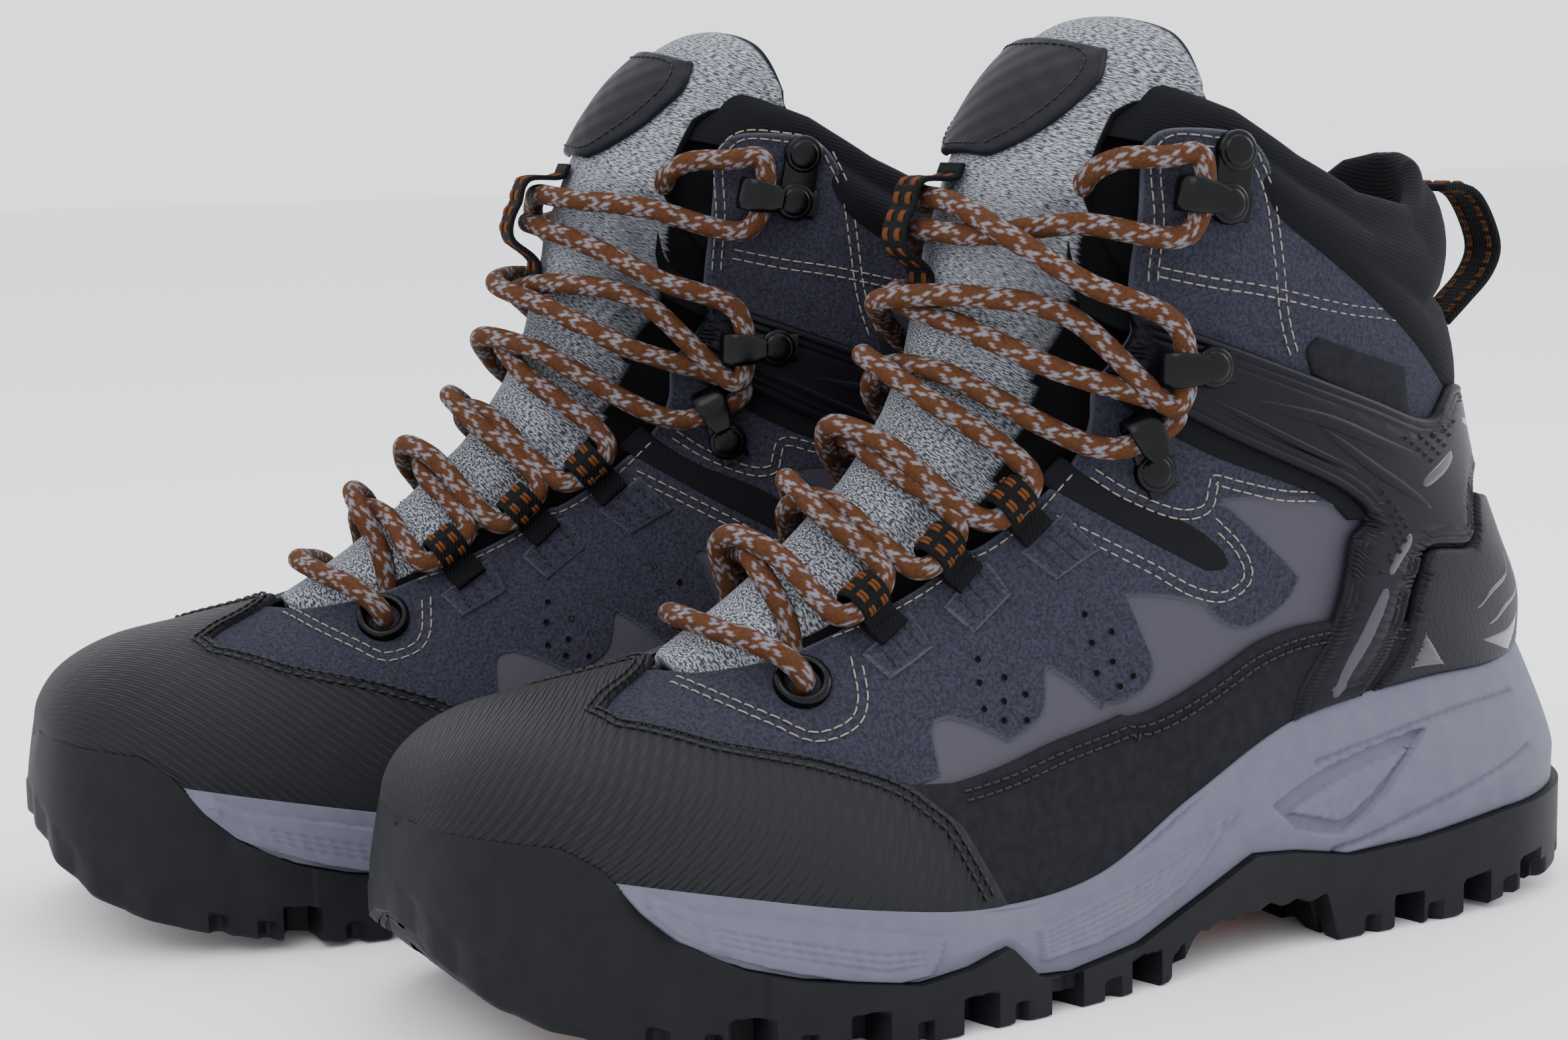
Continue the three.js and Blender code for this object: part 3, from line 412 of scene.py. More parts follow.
def patch(shape, runs, base, thick, edge=1.2, cell=2.2, seams=(), bump=None, rim=0.0, lanes=()):
    """A sheet on the skin inside an outline, with rounded edges, except along its seams.
    Bump gives further lift from station, girth and distance to the edge. Rim tints the edge.
    Lanes are distances from the edge where more points are needed."""
    loop, owner = trace(runs)
    free = ~np.isin(owner, seams)
    step_in = inwards(loop)
    shares = (0.08, 0.3, 0.65, 1.0) + tuple(lane / edge for lane in lanes)
    rows = [(loop + step_in * edge * share)[free] for share in shares]
    cells = cells_between(loop.min(0), loop.max(0), cell)
    border = loop[free]
    extra = np.vstack(rows + [cells])
    keep = inside(loop, extra)
    extra = extra[keep]
    space = nearest(skin_point(extra[:, 0], extra[:, 1]), skin_point(loop[:, 0], loop[:, 1]))
    is_cell = np.arange(len(keep))[keep] >= len(keep) - len(cells)
    extra = extra[(space > 0.05) & (~is_cell | (space > max((edge * 1.15,) + tuple(lanes))))]
    points = np.vstack([loop, extra])
    edges = [(k, (k + 1) % len(loop)) for k in range(len(loop))]
    flat = [Vector(p) for p in (points * SCALE).tolist()]
    found, _, triangles, _, _, _ = delaunay_2d_cdt(flat, edges, [], 1, 1e-5)
    place = np.array([tuple(v) for v in found]) / SCALE
    distance = nearest(skin_point(place[:, 0], place[:, 1]), skin_point(border[:, 0], border[:, 1]))
    t = np.clip(distance / edge, 0, 1)
    lift = base + thick * np.sqrt(1 - (1 - t) ** 2) - 0.4 * (t < 0.03)
    if bump is not None:
        lift = lift + bump(place[:, 0], place[:, 1], distance)
    faces = np.array([(f[0], f[1], f[2], f[2]) for f in triangles])
    world = skin(place[:, 0], place[:, 1], lift)
    centre = world[faces[:, 0]]
    across = np.cross(world[faces[:, 1]] - centre, world[faces[:, 2]] - centre)
    if np.mean(np.sum(across * skin_normal(place[faces[:, 0], 0], place[faces[:, 0], 1]), -1)) < 0:
        faces = faces[:, [0, 2, 1, 1]]
    tint = np.clip(1 - distance / rim, 0, 1) if rim else 0.0
    shape.add(world, faces, tint, chart_of(place))


def chart_of(place):
    """Millimetres across and along the skin, for a weave or a grain."""
    s_line = np.linspace(0, TOP, 200)
    along = np.interp(place[:, 0], s_line, run_along(skin_point(s_line, 0.4)))
    return np.stack([place[:, 1] * SCALE[1], along, np.zeros(len(place))], -1)


def thread(shape, runs, lift, stitch, double=0.0):
    """A row of stitches along each open line of (station, girth) points, and a second row beside it
    at the distance double, if that isn't 0."""
    for run in runs:
        line = spline(np.asarray(run, float) * SCALE, 0.5) / SCALE
        for offset in ((0.0, double) if double else (0.0,)):
            s, g = (line + open_inwards(line) * offset).T
            stitch_row(shape, skin(s, g, np.full(len(s), lift)), skin_normal(s, g), **stitch)


def open_inwards(line):
    """The sideways step of 1 mm for an open line: to the left when looking along it."""
    step = inwards(np.vstack([line, line[::-1]]))[:len(line)]
    t = np.gradient(line, axis=0)
    sign = np.sign(np.median(t[1:-1, 0] * step[1:-1, 1] - t[1:-1, 1] * step[1:-1, 0]))
    step = step * (sign if sign != 0 else 1)
    step[0], step[-1] = step[1], step[-2]
    return step


def stitch_row(shape, path, normals, pitch, length, radius):
    """Stitches along a path: each rises out of the surface and goes back into it."""
    run = run_along(path)
    section = circle(radius, 6)
    for middle in np.arange(pitch / 2, run[-1] - pitch / 3, pitch):
        at = middle + np.array([-0.5, -0.38, 0, 0.38, 0.5]) * length
        up = at_runs(run, normals, at)
        line = at_runs(run, path, at) + up * (np.array([-0.9, 0.3, 0.75, 0.3, -0.9]) * radius)[:, None]
        shape.add(*sweep(line, section, up))


# ---------------------------------------------------------------- materials
def rgb(code):
    """A colour from its six hex digits."""
    parts = [int(code[k:k + 2], 16) / 255 for k in (0, 2, 4)]
    return tuple(((c + 0.055) / 1.055) ** 2.4 if c > 0.04045 else c / 12.92 for c in parts) + (1.0,)


class Nodes:
    """A material's node tree, with short ways to add to it."""

    def __init__(self, material):
        self.tree = material.node_tree

    def add(self, kind, links=(), **settings):
        node = self.tree.nodes.new(kind)
        for key, value in settings.items():
            setattr(node, key, value)
        for socket, source in dict(links).items():
            if hasattr(source, "is_output"):
                self.tree.links.new(source, node.inputs[socket])
            else:
                node.inputs[socket].default_value = source
        return node

    def math(self, operation, first, second=0.0, third=0.0):
        links = {0: first, 1: second, 2: third}
        return self.add("ShaderNodeMath", links, operation=operation).outputs[0]

    def noise(self, place, size, detail=3.0):
        links = {"Vector": place, "Scale": 1 / size, "Detail": detail, "Roughness": 0.6}
        return self.add("ShaderNodeTexNoise", links).outputs[0]

    def mix(self, share, first, second):
        return self.add("ShaderNodeMix", {0: share, 6: first, 7: second}, data_type="RGBA").outputs[2]

    def between(self, value, low, high):
        links = {0: value, 1: low, 2: high, 3: 0.0, 4: 1.0}
        return self.add("ShaderNodeMapRange", links, interpolation_type="SMOOTHSTEP").outputs[0]

    def chart(self):
        parts = self.add("ShaderNodeAttribute", attribute_name="chart").outputs["Vector"]
        split = self.add("ShaderNodeSeparateXYZ", {0: parts})
        return parts, split.outputs[0], split.outputs[1]

    def wave(self, across, along, angle, pitch, warp=None):
        turn = math.radians(angle)
        u = self.math("MULTIPLY", across, math.cos(turn) * 2 * math.pi / pitch)
        phase = self.math("MULTIPLY_ADD", along, math.sin(turn) * 2 * math.pi / pitch, u)
        if warp is not None:
            phase = self.math("ADD", phase, warp)
        return self.math("SINE", phase)


def surface(name, colour, rough, mottle=None, grain=(), edge=None, weave=(), streak=None, **sockets):
    """A finish. Mottle is (second colour, millimetres, share). Grain is a list of (millimetres, depth
    in millimetres). Edge is the colour where the tint is 1. Weave is a list of (angle, pitch, depth,
    warp) in the piece's chart. Streak is (second colour, millimetres across, along)."""
    material = bpy.data.materials.new(name)
    material.use_nodes = True
    nodes = Nodes(material)
    shader = nodes.tree.nodes["Principled BSDF"]
    shader.inputs["Roughness"].default_value = rough
    for socket, value in sockets.items():
        shader.inputs[socket.replace("_", " ")].default_value = value
    place = nodes.add("ShaderNodeTexCoord").outputs["Object"]
    shade = rgb(colour)
    if mottle:
        second, size, share = mottle
        cloud = nodes.between(nodes.noise(place, size * MM), 0.5 - share / 2, 0.5 + share / 2)
        shade = nodes.mix(cloud, shade, rgb(second))
    parts, across, along = nodes.chart()
    if streak:
        second, wide, tall = streak
        stretched = nodes.add("ShaderNodeVectorMath", {0: parts, 1: (1 / wide, 1 / tall, 1)},
                              operation="MULTIPLY").outputs[0]
        fleck = nodes.between(nodes.noise(stretched, 1.0, 1.0), 0.42, 0.6)
        shade = nodes.mix(fleck, shade, rgb(second))
    if edge:
        tint = nodes.add("ShaderNodeAttribute", attribute_name="tint").outputs["Fac"]
        shade = nodes.mix(tint, shade, rgb(edge))
    if isinstance(shade, tuple):
        shader.inputs["Base Color"].default_value = shade
    else:
        nodes.tree.links.new(shade, shader.inputs["Base Color"])
    height = None
    for size, depth in grain:
        bump = nodes.math("MULTIPLY", nodes.noise(place, size * MM), depth)
        height = bump if height is None else nodes.math("ADD", height, bump)
    for angle, pitch, depth, warp in weave:
        shift = nodes.math("MULTIPLY", nodes.noise(place, 14 * MM, 1.0), warp) if warp else None
        bump = nodes.math("MULTIPLY", nodes.wave(across, along, angle, pitch, shift), depth / 2)
        height = bump if height is None else nodes.math("ADD", height, bump)
    if height is not None:
        normal = nodes.add("ShaderNodeBump", {"Height": height, "Distance": MM, "Strength": 1.0})
        nodes.tree.links.new(normal.outputs[0], shader.inputs["Normal"])
    return material


MATTE = {"Specular_IOR_Level": 0.12}
SATIN = {"Specular_IOR_Level": 0.3}
SUEDE = surface("suede", "212128", 0.92, mottle=("343341", 0.8, 0.4), grain=((0.5, 0.4), (1.8, 0.3)),
                edge="4e505a", **MATTE)
FILM = surface("film", "36333e", 0.55, grain=((0.5, 0.1),), edge="131317", **SATIN)
NUBUCK = surface("nubuck", "131317", 0.85, mottle=("1b1b20", 2.5, 0.5), grain=((0.6, 0.25),),
                 edge="1c1c20", **MATTE)
TOE = surface("toe_cap", "101014", 0.6, weave=((58, 1.3, 0.24, 5.0), (61, 0.85, 0.12, 7.0)),
              grain=((0.5, 0.08),), edge="18181b", Specular_IOR_Level=0.22)
MOULDED = surface("moulded", "0e0d15", 0.42, grain=((0.5, 0.05),), edge="100f16", Specular_IOR_Level=0.13)
GLOSS = surface("gloss", "1c1c22", 0.16, Specular_IOR_Level=0.6)
COUNTER = surface("counter", "0f0e15", 0.5, grain=((0.9, 0.22), (0.4, 0.1)), edge="15141b",
                  Specular_IOR_Level=0.15)
KNIT = surface("knit_black", "111115", 0.9, weave=((90, 0.9, 0.08, 0.3),), grain=((0.4, 0.1),),
               edge="08080a", **MATTE)
HEATHER = surface("knit_grey", "3c3d42", 0.93, streak=("9a9ca4", 1.2, 0.25), grain=((0.35, 0.15),),
                  edge="0b0b0d", **MATTE)
LABEL = surface("label", "121219", 0.55, weave=((45, 5.0, 0.16, 0), (-45, 5.0, 0.16, 0)),
                grain=((0.5, 0.08),), Specular_IOR_Level=0.15)
WEBBING = surface("webbing", "0c0c0f", 0.85, weave=((90, 0.9, 0.2, 0), (0, 1.1, 0.2, 0)), **MATTE)
LACING = surface("lace_brown", "4f301c", 0.85, mottle=("3d2313", 0.8, 0.5), edge="6b6970",
                 grain=((0.3, 0.12),), **MATTE)
HOOK = surface("hook_metal", "060608", 0.24, grain=((1.6, 0.03),), Specular_IOR_Level=0.16)
RUBBER = surface("outsole_rubber", "0e0e12", 0.6, mottle=("131317", 6.0, 0.5), grain=((0.4, 0.08),),
                 Specular_IOR_Level=0.15)
FOAM = surface("midsole_foam", "5b5b68", 0.6, mottle=("575764", 5.0, 0.4), grain=((0.45, 0.06),), **MATTE)
PLATE = surface("shank_orange", "e8551a", 0.4)
FELT = surface("footbed_felt", "1c1d20", 0.95, grain=((0.6, 0.3),), **MATTE)
CREAM = surface("thread_cream", "7f7c6f", 0.8, **MATTE)
BLACK = surface("thread_black", "141417", 0.6, **SATIN)
ORANGE = surface("thread_orange", "543016", 0.8, **MATTE)
# Near black for the perforations: painted shade standing for the depth of the holes.
HOLE_SHADE = surface("hole_painted_shade", "050506", 0.9, **MATTE)


# ---------------------------------------------------------------- camera, light and floor
CAMERA_ANGLES = (66.9, 8.2, -0.99)     # azimuth, elevation and roll, in degrees
CAMERA_PLACE = (0.6146, -0.2695, 0.1892)
CAMERA_LENS = 64.87
# Name, place and size in metres, and power of each soft lamp.
LAMPS = (("key", (0.9, -0.9, 1.3), 0.9, 10),
         ("top", (-0.2, 0.2, 1.5), 1.2, 9),
         ("rim", (0.3, 1.1, 0.7), 0.6, 5))
LAMP_AIM = (0, 0, 0.08)
SKY = ((0.95, 0.97, 1.0, 1), 1.9)
FLOOR_HALF = 6


def camera():
    azimuth, elevation, roll = (math.radians(v) for v in CAMERA_ANGLES)
    ahead = Vector((-math.sin(azimuth) * math.cos(elevation), math.cos(azimuth) * math.cos(elevation),
                    -math.sin(elevation)))
    right = Vector((math.cos(azimuth), math.sin(azimuth), 0))
    up = right.cross(ahead)
    c, s = math.cos(roll), math.sin(roll)
    turned = (c * right + s * up, c * up - s * right, -ahead)
    data = bpy.data.cameras.new("camera")
    data.lens = CAMERA_LENS
    data.sensor_width = 36
    data.clip_start = 0.01
    eye = bpy.data.objects.new("camera", data)
    eye.matrix_world = Matrix.Translation(CAMERA_PLACE) @ Matrix(turned).transposed().to_4x4()
    bpy.context.scene.collection.objects.link(eye)
    bpy.context.scene.camera = eye


def studio():
    world = bpy.data.worlds.new("studio")
    bpy.context.scene.world = world
    world.use_nodes = True
    back = world.node_tree.nodes["Background"]
    back.inputs[0].default_value, back.inputs[1].default_value = SKY
    for name, place, size, power in LAMPS:
        lamp = bpy.data.lights.new(name, "AREA")
        lamp.size = size
        lamp.energy = power
        light = bpy.data.objects.new(name, lamp)
        light.location = place
        light.rotation_euler = (Vector(LAMP_AIM) - Vector(place)).to_track_quat("-Z", "Y").to_euler()
        bpy.context.scene.collection.objects.link(light)
    mesh = bpy.data.meshes.new("floor")
    corners = [(x * FLOOR_HALF, y * FLOOR_HALF, 0) for x, y in ((-1, -1), (1, -1), (1, 1), (-1, 1))]
    mesh.from_pydata(corners, [], [(0, 1, 2, 3)])
    mesh.materials.append(surface("floor", "f2f3f4", 0.7))
    floor = bpy.data.objects.new("floor", mesh)
    bpy.context.scene.collection.objects.link(floor)


# ---------------------------------------------------------------- lines on the skin
# Lines that run up the boot are (station, girth) pairs, and lines that run round it are (girth,
# station) pairs.
THROAT = ((4.9, 0.02), (5.25, 0.19), (5.9, 0.3), (6.8, 0.36), (7.7, 0.41), (8.7, 0.43), (9.6, 0.42),
          (11, 0.35), (13, 0.3), (20, 0.3))
COLLAR_FRONT = ((10, 0.36), (11.5, 0.31), (14, 0.26), (20, 0.245))
QUARTER_TOP = ((0, 17.6), (0.42, 17.8), (0.49, 17.1), (0.65, 16.5), (0.77, 16.2), (1, 16))
COLLAR_LOW = ((0, 12.6), (0.3, 12.8), (0.5, 14.4), (0.7, 15.4), (1, 15.7))
COLLAR_TOP = ((0, 18.2), (0.3, 18.2), (0.42, 18), (0.52, 17.6), (0.62, 17.4), (0.75, 17.6), (0.88, 18.5),
              (1, 18.9))
TOE_EDGE = ((0, 5.1), (0.05, 4.95), (0.12, 4.38), (0.19, 4.05), (0.31, 4.16), (0.47, 4.83), (0.57, 5.5),
            (0.68, 6.1), (0.78, 6.28), (1, 6.22))
RAND_TOP = ((6.42, 0.7), (7.25, 0.73), (8, 0.79), (8.8, 0.82), (9.6, 0.82), (10.6, 0.85), (11.6, 0.88),
            (12.4, 0.92), (13, 1))
EYELET = (5.9, 0.39)
LACE_LOOPS = ((6.85, 0.36), (7.75, 0.4), (8.68, 0.42))
HOOKS = ((10.2, 0.49, 0), (13.08, 0.37, 4.2), (16.66, 0.395, 0))       # and the lift of its base
HOOK_REACH = 9.5                       # from a hook's seat to where its metal turns back
METAL = 1.6                            # thickness of the hooks' metal
HOOK_ROOM = 2.9                        # half of the room for the lace inside a hook
LOOP_LIFT = 4.9                        # lift of the middle of a lace loop


def follow(pairs, at):
    """The value of a line of (x, value) pairs."""
    xs, ys = zip(*pairs)
    return np.interp(at, xs, ys)


def on_side(runs, side):
    """Runs drawn for the outer side, on either side."""
    return [[(s, g * side) for s, g in run] for run in runs]


class Seat:
    """A place on the skin, with forward towards the tongue, up the boot, and out of the surface."""

    def __init__(self, s, g, lift):
        self.out = skin_normal(s, g)
        climb = skin_point(s + 0.02, g) - skin_point(s - 0.02, g)
        self.forward = unit(np.cross(self.out, climb) * np.sign(g))
        self.up = -np.sign(g) * np.cross(self.out, self.forward)
        self.centre = skin(s, g, lift)

    def at(self, forward=0.0, up=0.0, out=0.0):
        f, u, o = np.broadcast_arrays(forward, up, out)
        return (self.centre + f[..., None] * self.forward + u[..., None] * self.up + o[..., None] * self.out)


def loop_seat(k, side):
    s, g = LACE_LOOPS[k]
    return Seat(s, (g - 0.02) * side, LOOP_LIFT)


def hook_seat(k, side):
    s, g, base = HOOKS[k]
    return Seat(s, g * side, base + 0.6)


# ---------------------------------------------------------------- lace
# The lace's route as (station, girth, lift), and loops and hooks as (kind, number, side). The bar
# crosses at the bottom, and each half climbs from it.
LACE_BAR = ((5.55, 0, 4.4), (5.62, 0.15, 4), (5.82, 0.33, 5.6), (5.89, 0.387, 3), (5.9, 0.39, -3.4),
            (6.05, 0.34, -6.4), (6.28, 0.22, 0))
LACE_HALF = (
    (6.4, 0.1, 4.2), (6.5, 0, 4.2), (6.58, -0.14, 4), ("loop", 0, -1),
    (7.2, -0.12, 3.9), (7.3, 0, 3.7), (7.4, 0.12, 3.9), ("loop", 1, 1),
    (8.12, 0.13, 3.9), (8.22, 0, 3.7), (8.32, -0.13, 3.9), ("loop", 2, -1),
    (9.25, -0.15, 4.1), (9.55, 0, 3.7), (9.8, 0.15, 4.1), ("hook", 0, 1),
    (10.9, 0.29, 7.6), (10.85, 0.15, 4.5), (10.9, 0, 3.8), (11.5, -0.13, 4.3), (12.3, -0.24, 6.8),
    ("hook", 1, -1))
UNDER_KEEPER = {
    1: ((13.35, -0.25, 8), (13.3, -0.15, 4.2), (13.2, 0, 3.8), (13.6, 0.11, 4), (15.3, 0.23, 4.8)),
    -1: ((13.6, -0.24, 9.5), (14, -0.15, 9.2), (14.5, -0.07, 4.8), (14.6, 0, 4.1), (14.8, 0.09, 4.2),
         (15.5, 0.22, 5))}
LACE_END = (("hook", 2, 1), (17.0, 0.31, 5.2), (16.75, 0.26, 3.6), (16.45, 0.235, 1), (16.1, 0.225, -3))
CROSSING_LIFT = 5.5


def lace_points(entry, side, raised):
    """The points of one entry of the route. A raised half passes over the other where they cross."""
    first, second, third = entry
    if first == "loop":
        seat = loop_seat(second, third * side)
        return [seat.at(up=-6.4), seat.at(up=6.4)]
    if first == "hook":
        seat = hook_seat(second, third * side)
        return [seat.at(HOOK_REACH, up, METAL + HOOK_ROOM) for up in (-8, 8.6)]
    over = CROSSING_LIFT * min(max((0.2 - abs(second)) / 0.13, 0), 1) if raised else 0
    return [skin(first, second * side, third + over)]


def lace_route():
    """From one end behind the collar, down, across the bar, and up to the other end."""
    halves = {}
    for side in (1, -1):
        entries = [(e, False) for e in LACE_BAR[1:]] + [(e, side < 0) for e in LACE_HALF]
        entries += [(e, False) for e in UNDER_KEEPER[side] + LACE_END]
        halves[side] = [p for entry, raised in entries for p in lace_points(entry, side, raised)]
    return halves[1][::-1] + lace_points(LACE_BAR[0], 1, False) + halves[-1]


def braided(path, radius, sides=32, yarns=16, lay=1.4, swell=0.18):
    """A round braid of two families of yarns, over two and under two, with light tracers in pairs."""
    tangent = unit(np.gradient(path, axis=0))
    up = carried(tangent)
    side = np.cross(tangent, up)
    run = run_along(path)[:, None]
    angle = np.arange(sides) * 2 * math.pi / sides
    around = angle[None] * yarns / (2 * math.pi)
    a = around + run / lay
    b = around - run / lay
    first_on_top = (np.floor(a) + np.floor(b)) % 4 < 2
    across = np.where(first_on_top, a % 1, b % 1)
    number = np.where(first_on_top, np.floor(a), np.floor(b)) % yarns
    r = radius - swell + swell * np.sqrt(np.maximum(1 - (2 * across - 1) ** 2, 0))
    points = (path[:, None] + side[:, None] * (r * np.cos(angle))[..., None]
              + up[:, None] * (r * np.sin(angle))[..., None])
    tracer = np.isin(number % 8, (0, 2)).astype(float)
    return points.reshape(-1, 3), grid_faces(len(path), sides, ring=True), tracer.ravel()


def make_lace():
    path = spline(lace_route(), 0.6)
    shape = Shape()
    shape.add(*braided(path, LACE / 2))
    for end, nearby in ((path[0], path[1]), (path[-1], path[-2])):
        away = unit(end - nearby)
        shape.add(*sweep([end - away, end + away * 2], circle(LACE / 2 - 0.2, 16)))
    build("lace", shape, LACING, nodes=["lace"])


# ---------------------------------------------------------------- shell, suede and overlays
def shell_side(shape, side):
    """The film shell on one side: outer face, rolled throat edge and black lining."""
    rows = np.linspace(3.4, 17.2, 190)
    columns = 46
    share = np.linspace(0, 1, columns)
    start = follow(THROAT, rows)[:, None] + 0.012
    start = np.where(rows[:, None] < 4.9, 0.0, start)
    g = (start + (1 - start) * share) * side
    s = np.broadcast_to(rows[:, None], g.shape)
    roof = np.minimum(s, follow(QUARTER_TOP, np.abs(g)) - 0.05)
    outer = skin(roof, g, np.full(g.shape, -0.8))
    lining = skin(roof, g, np.full(g.shape, -UPPER))
    both = np.concatenate([lining[:, ::-1], outer], axis=1)
    tint = np.concatenate([np.ones(lining.shape[:2]), np.zeros(outer.shape[:2])], axis=1)
    faces = grid_faces(len(rows), 2 * columns)
    shape.add(both, faces if side > 0 else faces[:, ::-1], tint.ravel())
    last = len(rows) - 1
    rim = [(last * 2 * columns + k, last * 2 * columns + k + 1, last * 2 * columns + 2 * columns - 2 - k,
            last * 2 * columns + 2 * columns - 1 - k) for k in range(columns - 1)]
    shape.faces.append(np.array(rim) + shape.count - len(both.reshape(-1, 3)))


SAW = [(11.7, 0.6), (10.44, 0.575)], [(10.44, 0.575), (10.3, 0.65), (10.14, 0.73)], [
    (10.14, 0.73), (9.7, 0.772), (9.3, 0.785), (9.17, 0.76), (9.18, 0.706)], [
    (9.18, 0.706), (8.97, 0.665), (8.76, 0.634)], [
    (8.76, 0.634), (8.6, 0.7), (8.46, 0.752), (8.28, 0.769), (7.91, 0.764)], [
    (7.91, 0.764), (7.86, 0.7), (7.78, 0.656)], [(7.78, 0.656), (7.48, 0.70), (7.10, 0.693)], [
    (7.10, 0.693), (6.95, 0.64), (6.79, 0.603)], [(6.79, 0.603), (6.67, 0.595), (6.39, 0.681)]
SUEDE_RUNS = [
    [(4.86, 0.03), (4.1, 0.12), (3.75, 0.19), (3.85, 0.31), (4.55, 0.47), (5.25, 0.57), (5.8, 0.68)],
    [(5.8, 0.68), (6.39, 0.681)],
    *[run[::-1] for run in SAW[::-1]],
    [(11.7, 0.6), (12.3, 0.62), (13.2, 0.74), (14.2, 0.86), (14.6, 1.0)],
    [(14.6, 1.0), (16, 1.0)],
    [(16, 1.0), (16.25, 0.77), (16.5, 0.65), (16.62, 0.53), (16.98, 0.465), (17.5, 0.44), (17.75, 0.415),
     (17.8, 0.385), (17.68, 0.335), (17.5, 0.3), (17.2, 0.285)],
    [(17.2, 0.285), (16, 0.3), (13, 0.3), (11, 0.35), (10.3, 0.39), (9.6, 0.42), (8.7, 0.43), (7.7, 0.41),
     (6.8, 0.36), (5.9, 0.3), (5.25, 0.19), (4.95, 0.06), (4.86, 0.03)],
]
SLOT_RUNS = [[(9.62, 0.4), (9.57, 0.45), (9.62, 0.51), (9.8, 0.575), (9.84, 0.61)],
             [(9.84, 0.61), (9.78, 0.65), (9.62, 0.672), (9.46, 0.662)],
             [(9.46, 0.662), (9.38, 0.61), (9.25, 0.516), (9.15, 0.43), (9.12, 0.405)],
             [(9.12, 0.405), (9.62, 0.4)]]
TAB_RUNS = [[(15.3, 0.515), (15.6, 0.655)], [(15.6, 0.655), (14.8, 0.65)], [(14.8, 0.65), (14.5, 0.5)],
            [(14.5, 0.5), (15.0, 0.5), (15.3, 0.515)]]
SUEDE_SEAMS = (
    [(5.02, 0.157), (5.212, 0.31), (5.45, 0.43), (5.669, 0.503), (6.0, 0.51), (6.185, 0.488), (6.442, 0.404)],
    [(15.12, 0.33), (15.4, 0.39), (15.68, 0.45), (16.0, 0.56), (16.25, 0.65), (16.3, 0.78), (16.1, 0.95)],
    [(17.6, 0.42), (17.1, 0.45), (16.30, 0.47), (15.4, 0.48), (14.7, 0.49)],
    [(14.6, 0.318), (16, 0.318), (17.1, 0.3), (17.45, 0.315), (17.6, 0.36), (17.64, 0.4), (17.45, 0.42)],
    [(9.72, 0.445), (9.74, 0.5), (9.93, 0.56), (10.15, 0.568), (10.5, 0.545), (10.75, 0.531), (10.94, 0.55),
     (11.24, 0.57), (11.75, 0.57)],
    [(8.92, 0.465), (9.06, 0.543), (9.18, 0.616), (9.27, 0.68), (9.41, 0.705), (9.66, 0.697), (9.87, 0.655),
     (9.98, 0.6)])
THROAT_SEAM = [(9.5, 0.433), (8.7, 0.445), (7.7, 0.425), (6.8, 0.375), (6.4, 0.345)]
HOLES = ((8.353, 0.614), (8.41, 0.661), (8.219, 0.657), (8.237, 0.7), (8.072, 0.703), (8.141, 0.74),
         (8.278, 0.738), (7.346, 0.559), (7.425, 0.611), (7.216, 0.587), (7.282, 0.637), (7.472, 0.655),
         (7.093, 0.624), (7.336, 0.685), (7.171, 0.659))


def lumps(seed, size):
    """A gentle unevenness in the leather, the same each time."""
    rng = np.random.default_rng(seed)
    waves = rng.uniform(-1, 1, (7, 3))

    def lift(s, g, distance):
        total = 0
        for a, b, c in waves:
            total = total + np.sin(s * (1.2 + a) * 2.1 + g * 9 * b + c * 7)
        return size * total / 4 * smoothstep(0.3, 5, distance)
    return lift


def pinhole(shape, seat):
    """A small pit with a raised rim, all in near black: painted shade for the depth of the hole."""
    ring = circle(0.7, 10).T
    shape.add(np.vstack([seat.at(*ring, 0.25), seat.at(*(ring * 0.8), 0), seat.centre[None]]),
              np.vstack([[(k, (k + 1) % 10, 10 + (k + 1) % 10, 10 + k) for k in range(10)],
                         [(10 + k, 10 + (k + 1) % 10, 20, 20) for k in range(10)]]))


def make_quarters():
    """The film shell, and the suede over it with its slots, tabs, holes and light seams."""
    shell, suede, slot, tab, dark, cream = (Shape() for _ in range(6))
    for side in (1, -1):
        shell_side(shell, side)
        patch(suede, on_side(SUEDE_RUNS, side), -0.85, 0.85, edge=1.1, seams=(12,), rim=0.9,
              bump=lumps(3, 0.28))
        patch(slot, on_side(SLOT_RUNS, side), -0.1, 0.35, edge=0.9, cell=1.6)
        for s, g in HOLES:
            pinhole(dark, Seat(s, g * side, 0.1))
        patch(tab, on_side(TAB_RUNS, side), 0.1, 0.7, edge=0.6, cell=2.6)
        thread(cream, on_side(SUEDE_SEAMS, side), 0.12, CREAM_STITCH, double=2.1)
        thread(cream, on_side([THROAT_SEAM], side), 0.12, CREAM_STITCH)
    build("shell", shell, FILM, nodes=["upper"])
    build("suede_quarters", suede, SUEDE)
    build("stretch_slots", slot, KNIT)
    build("side_tabs", tab, NUBUCK)
    # The perforations' discs carry painted shade for the holes.
    build("perforations", dark, HOLE_SHADE)
    build("cream_stitching", cream, CREAM)


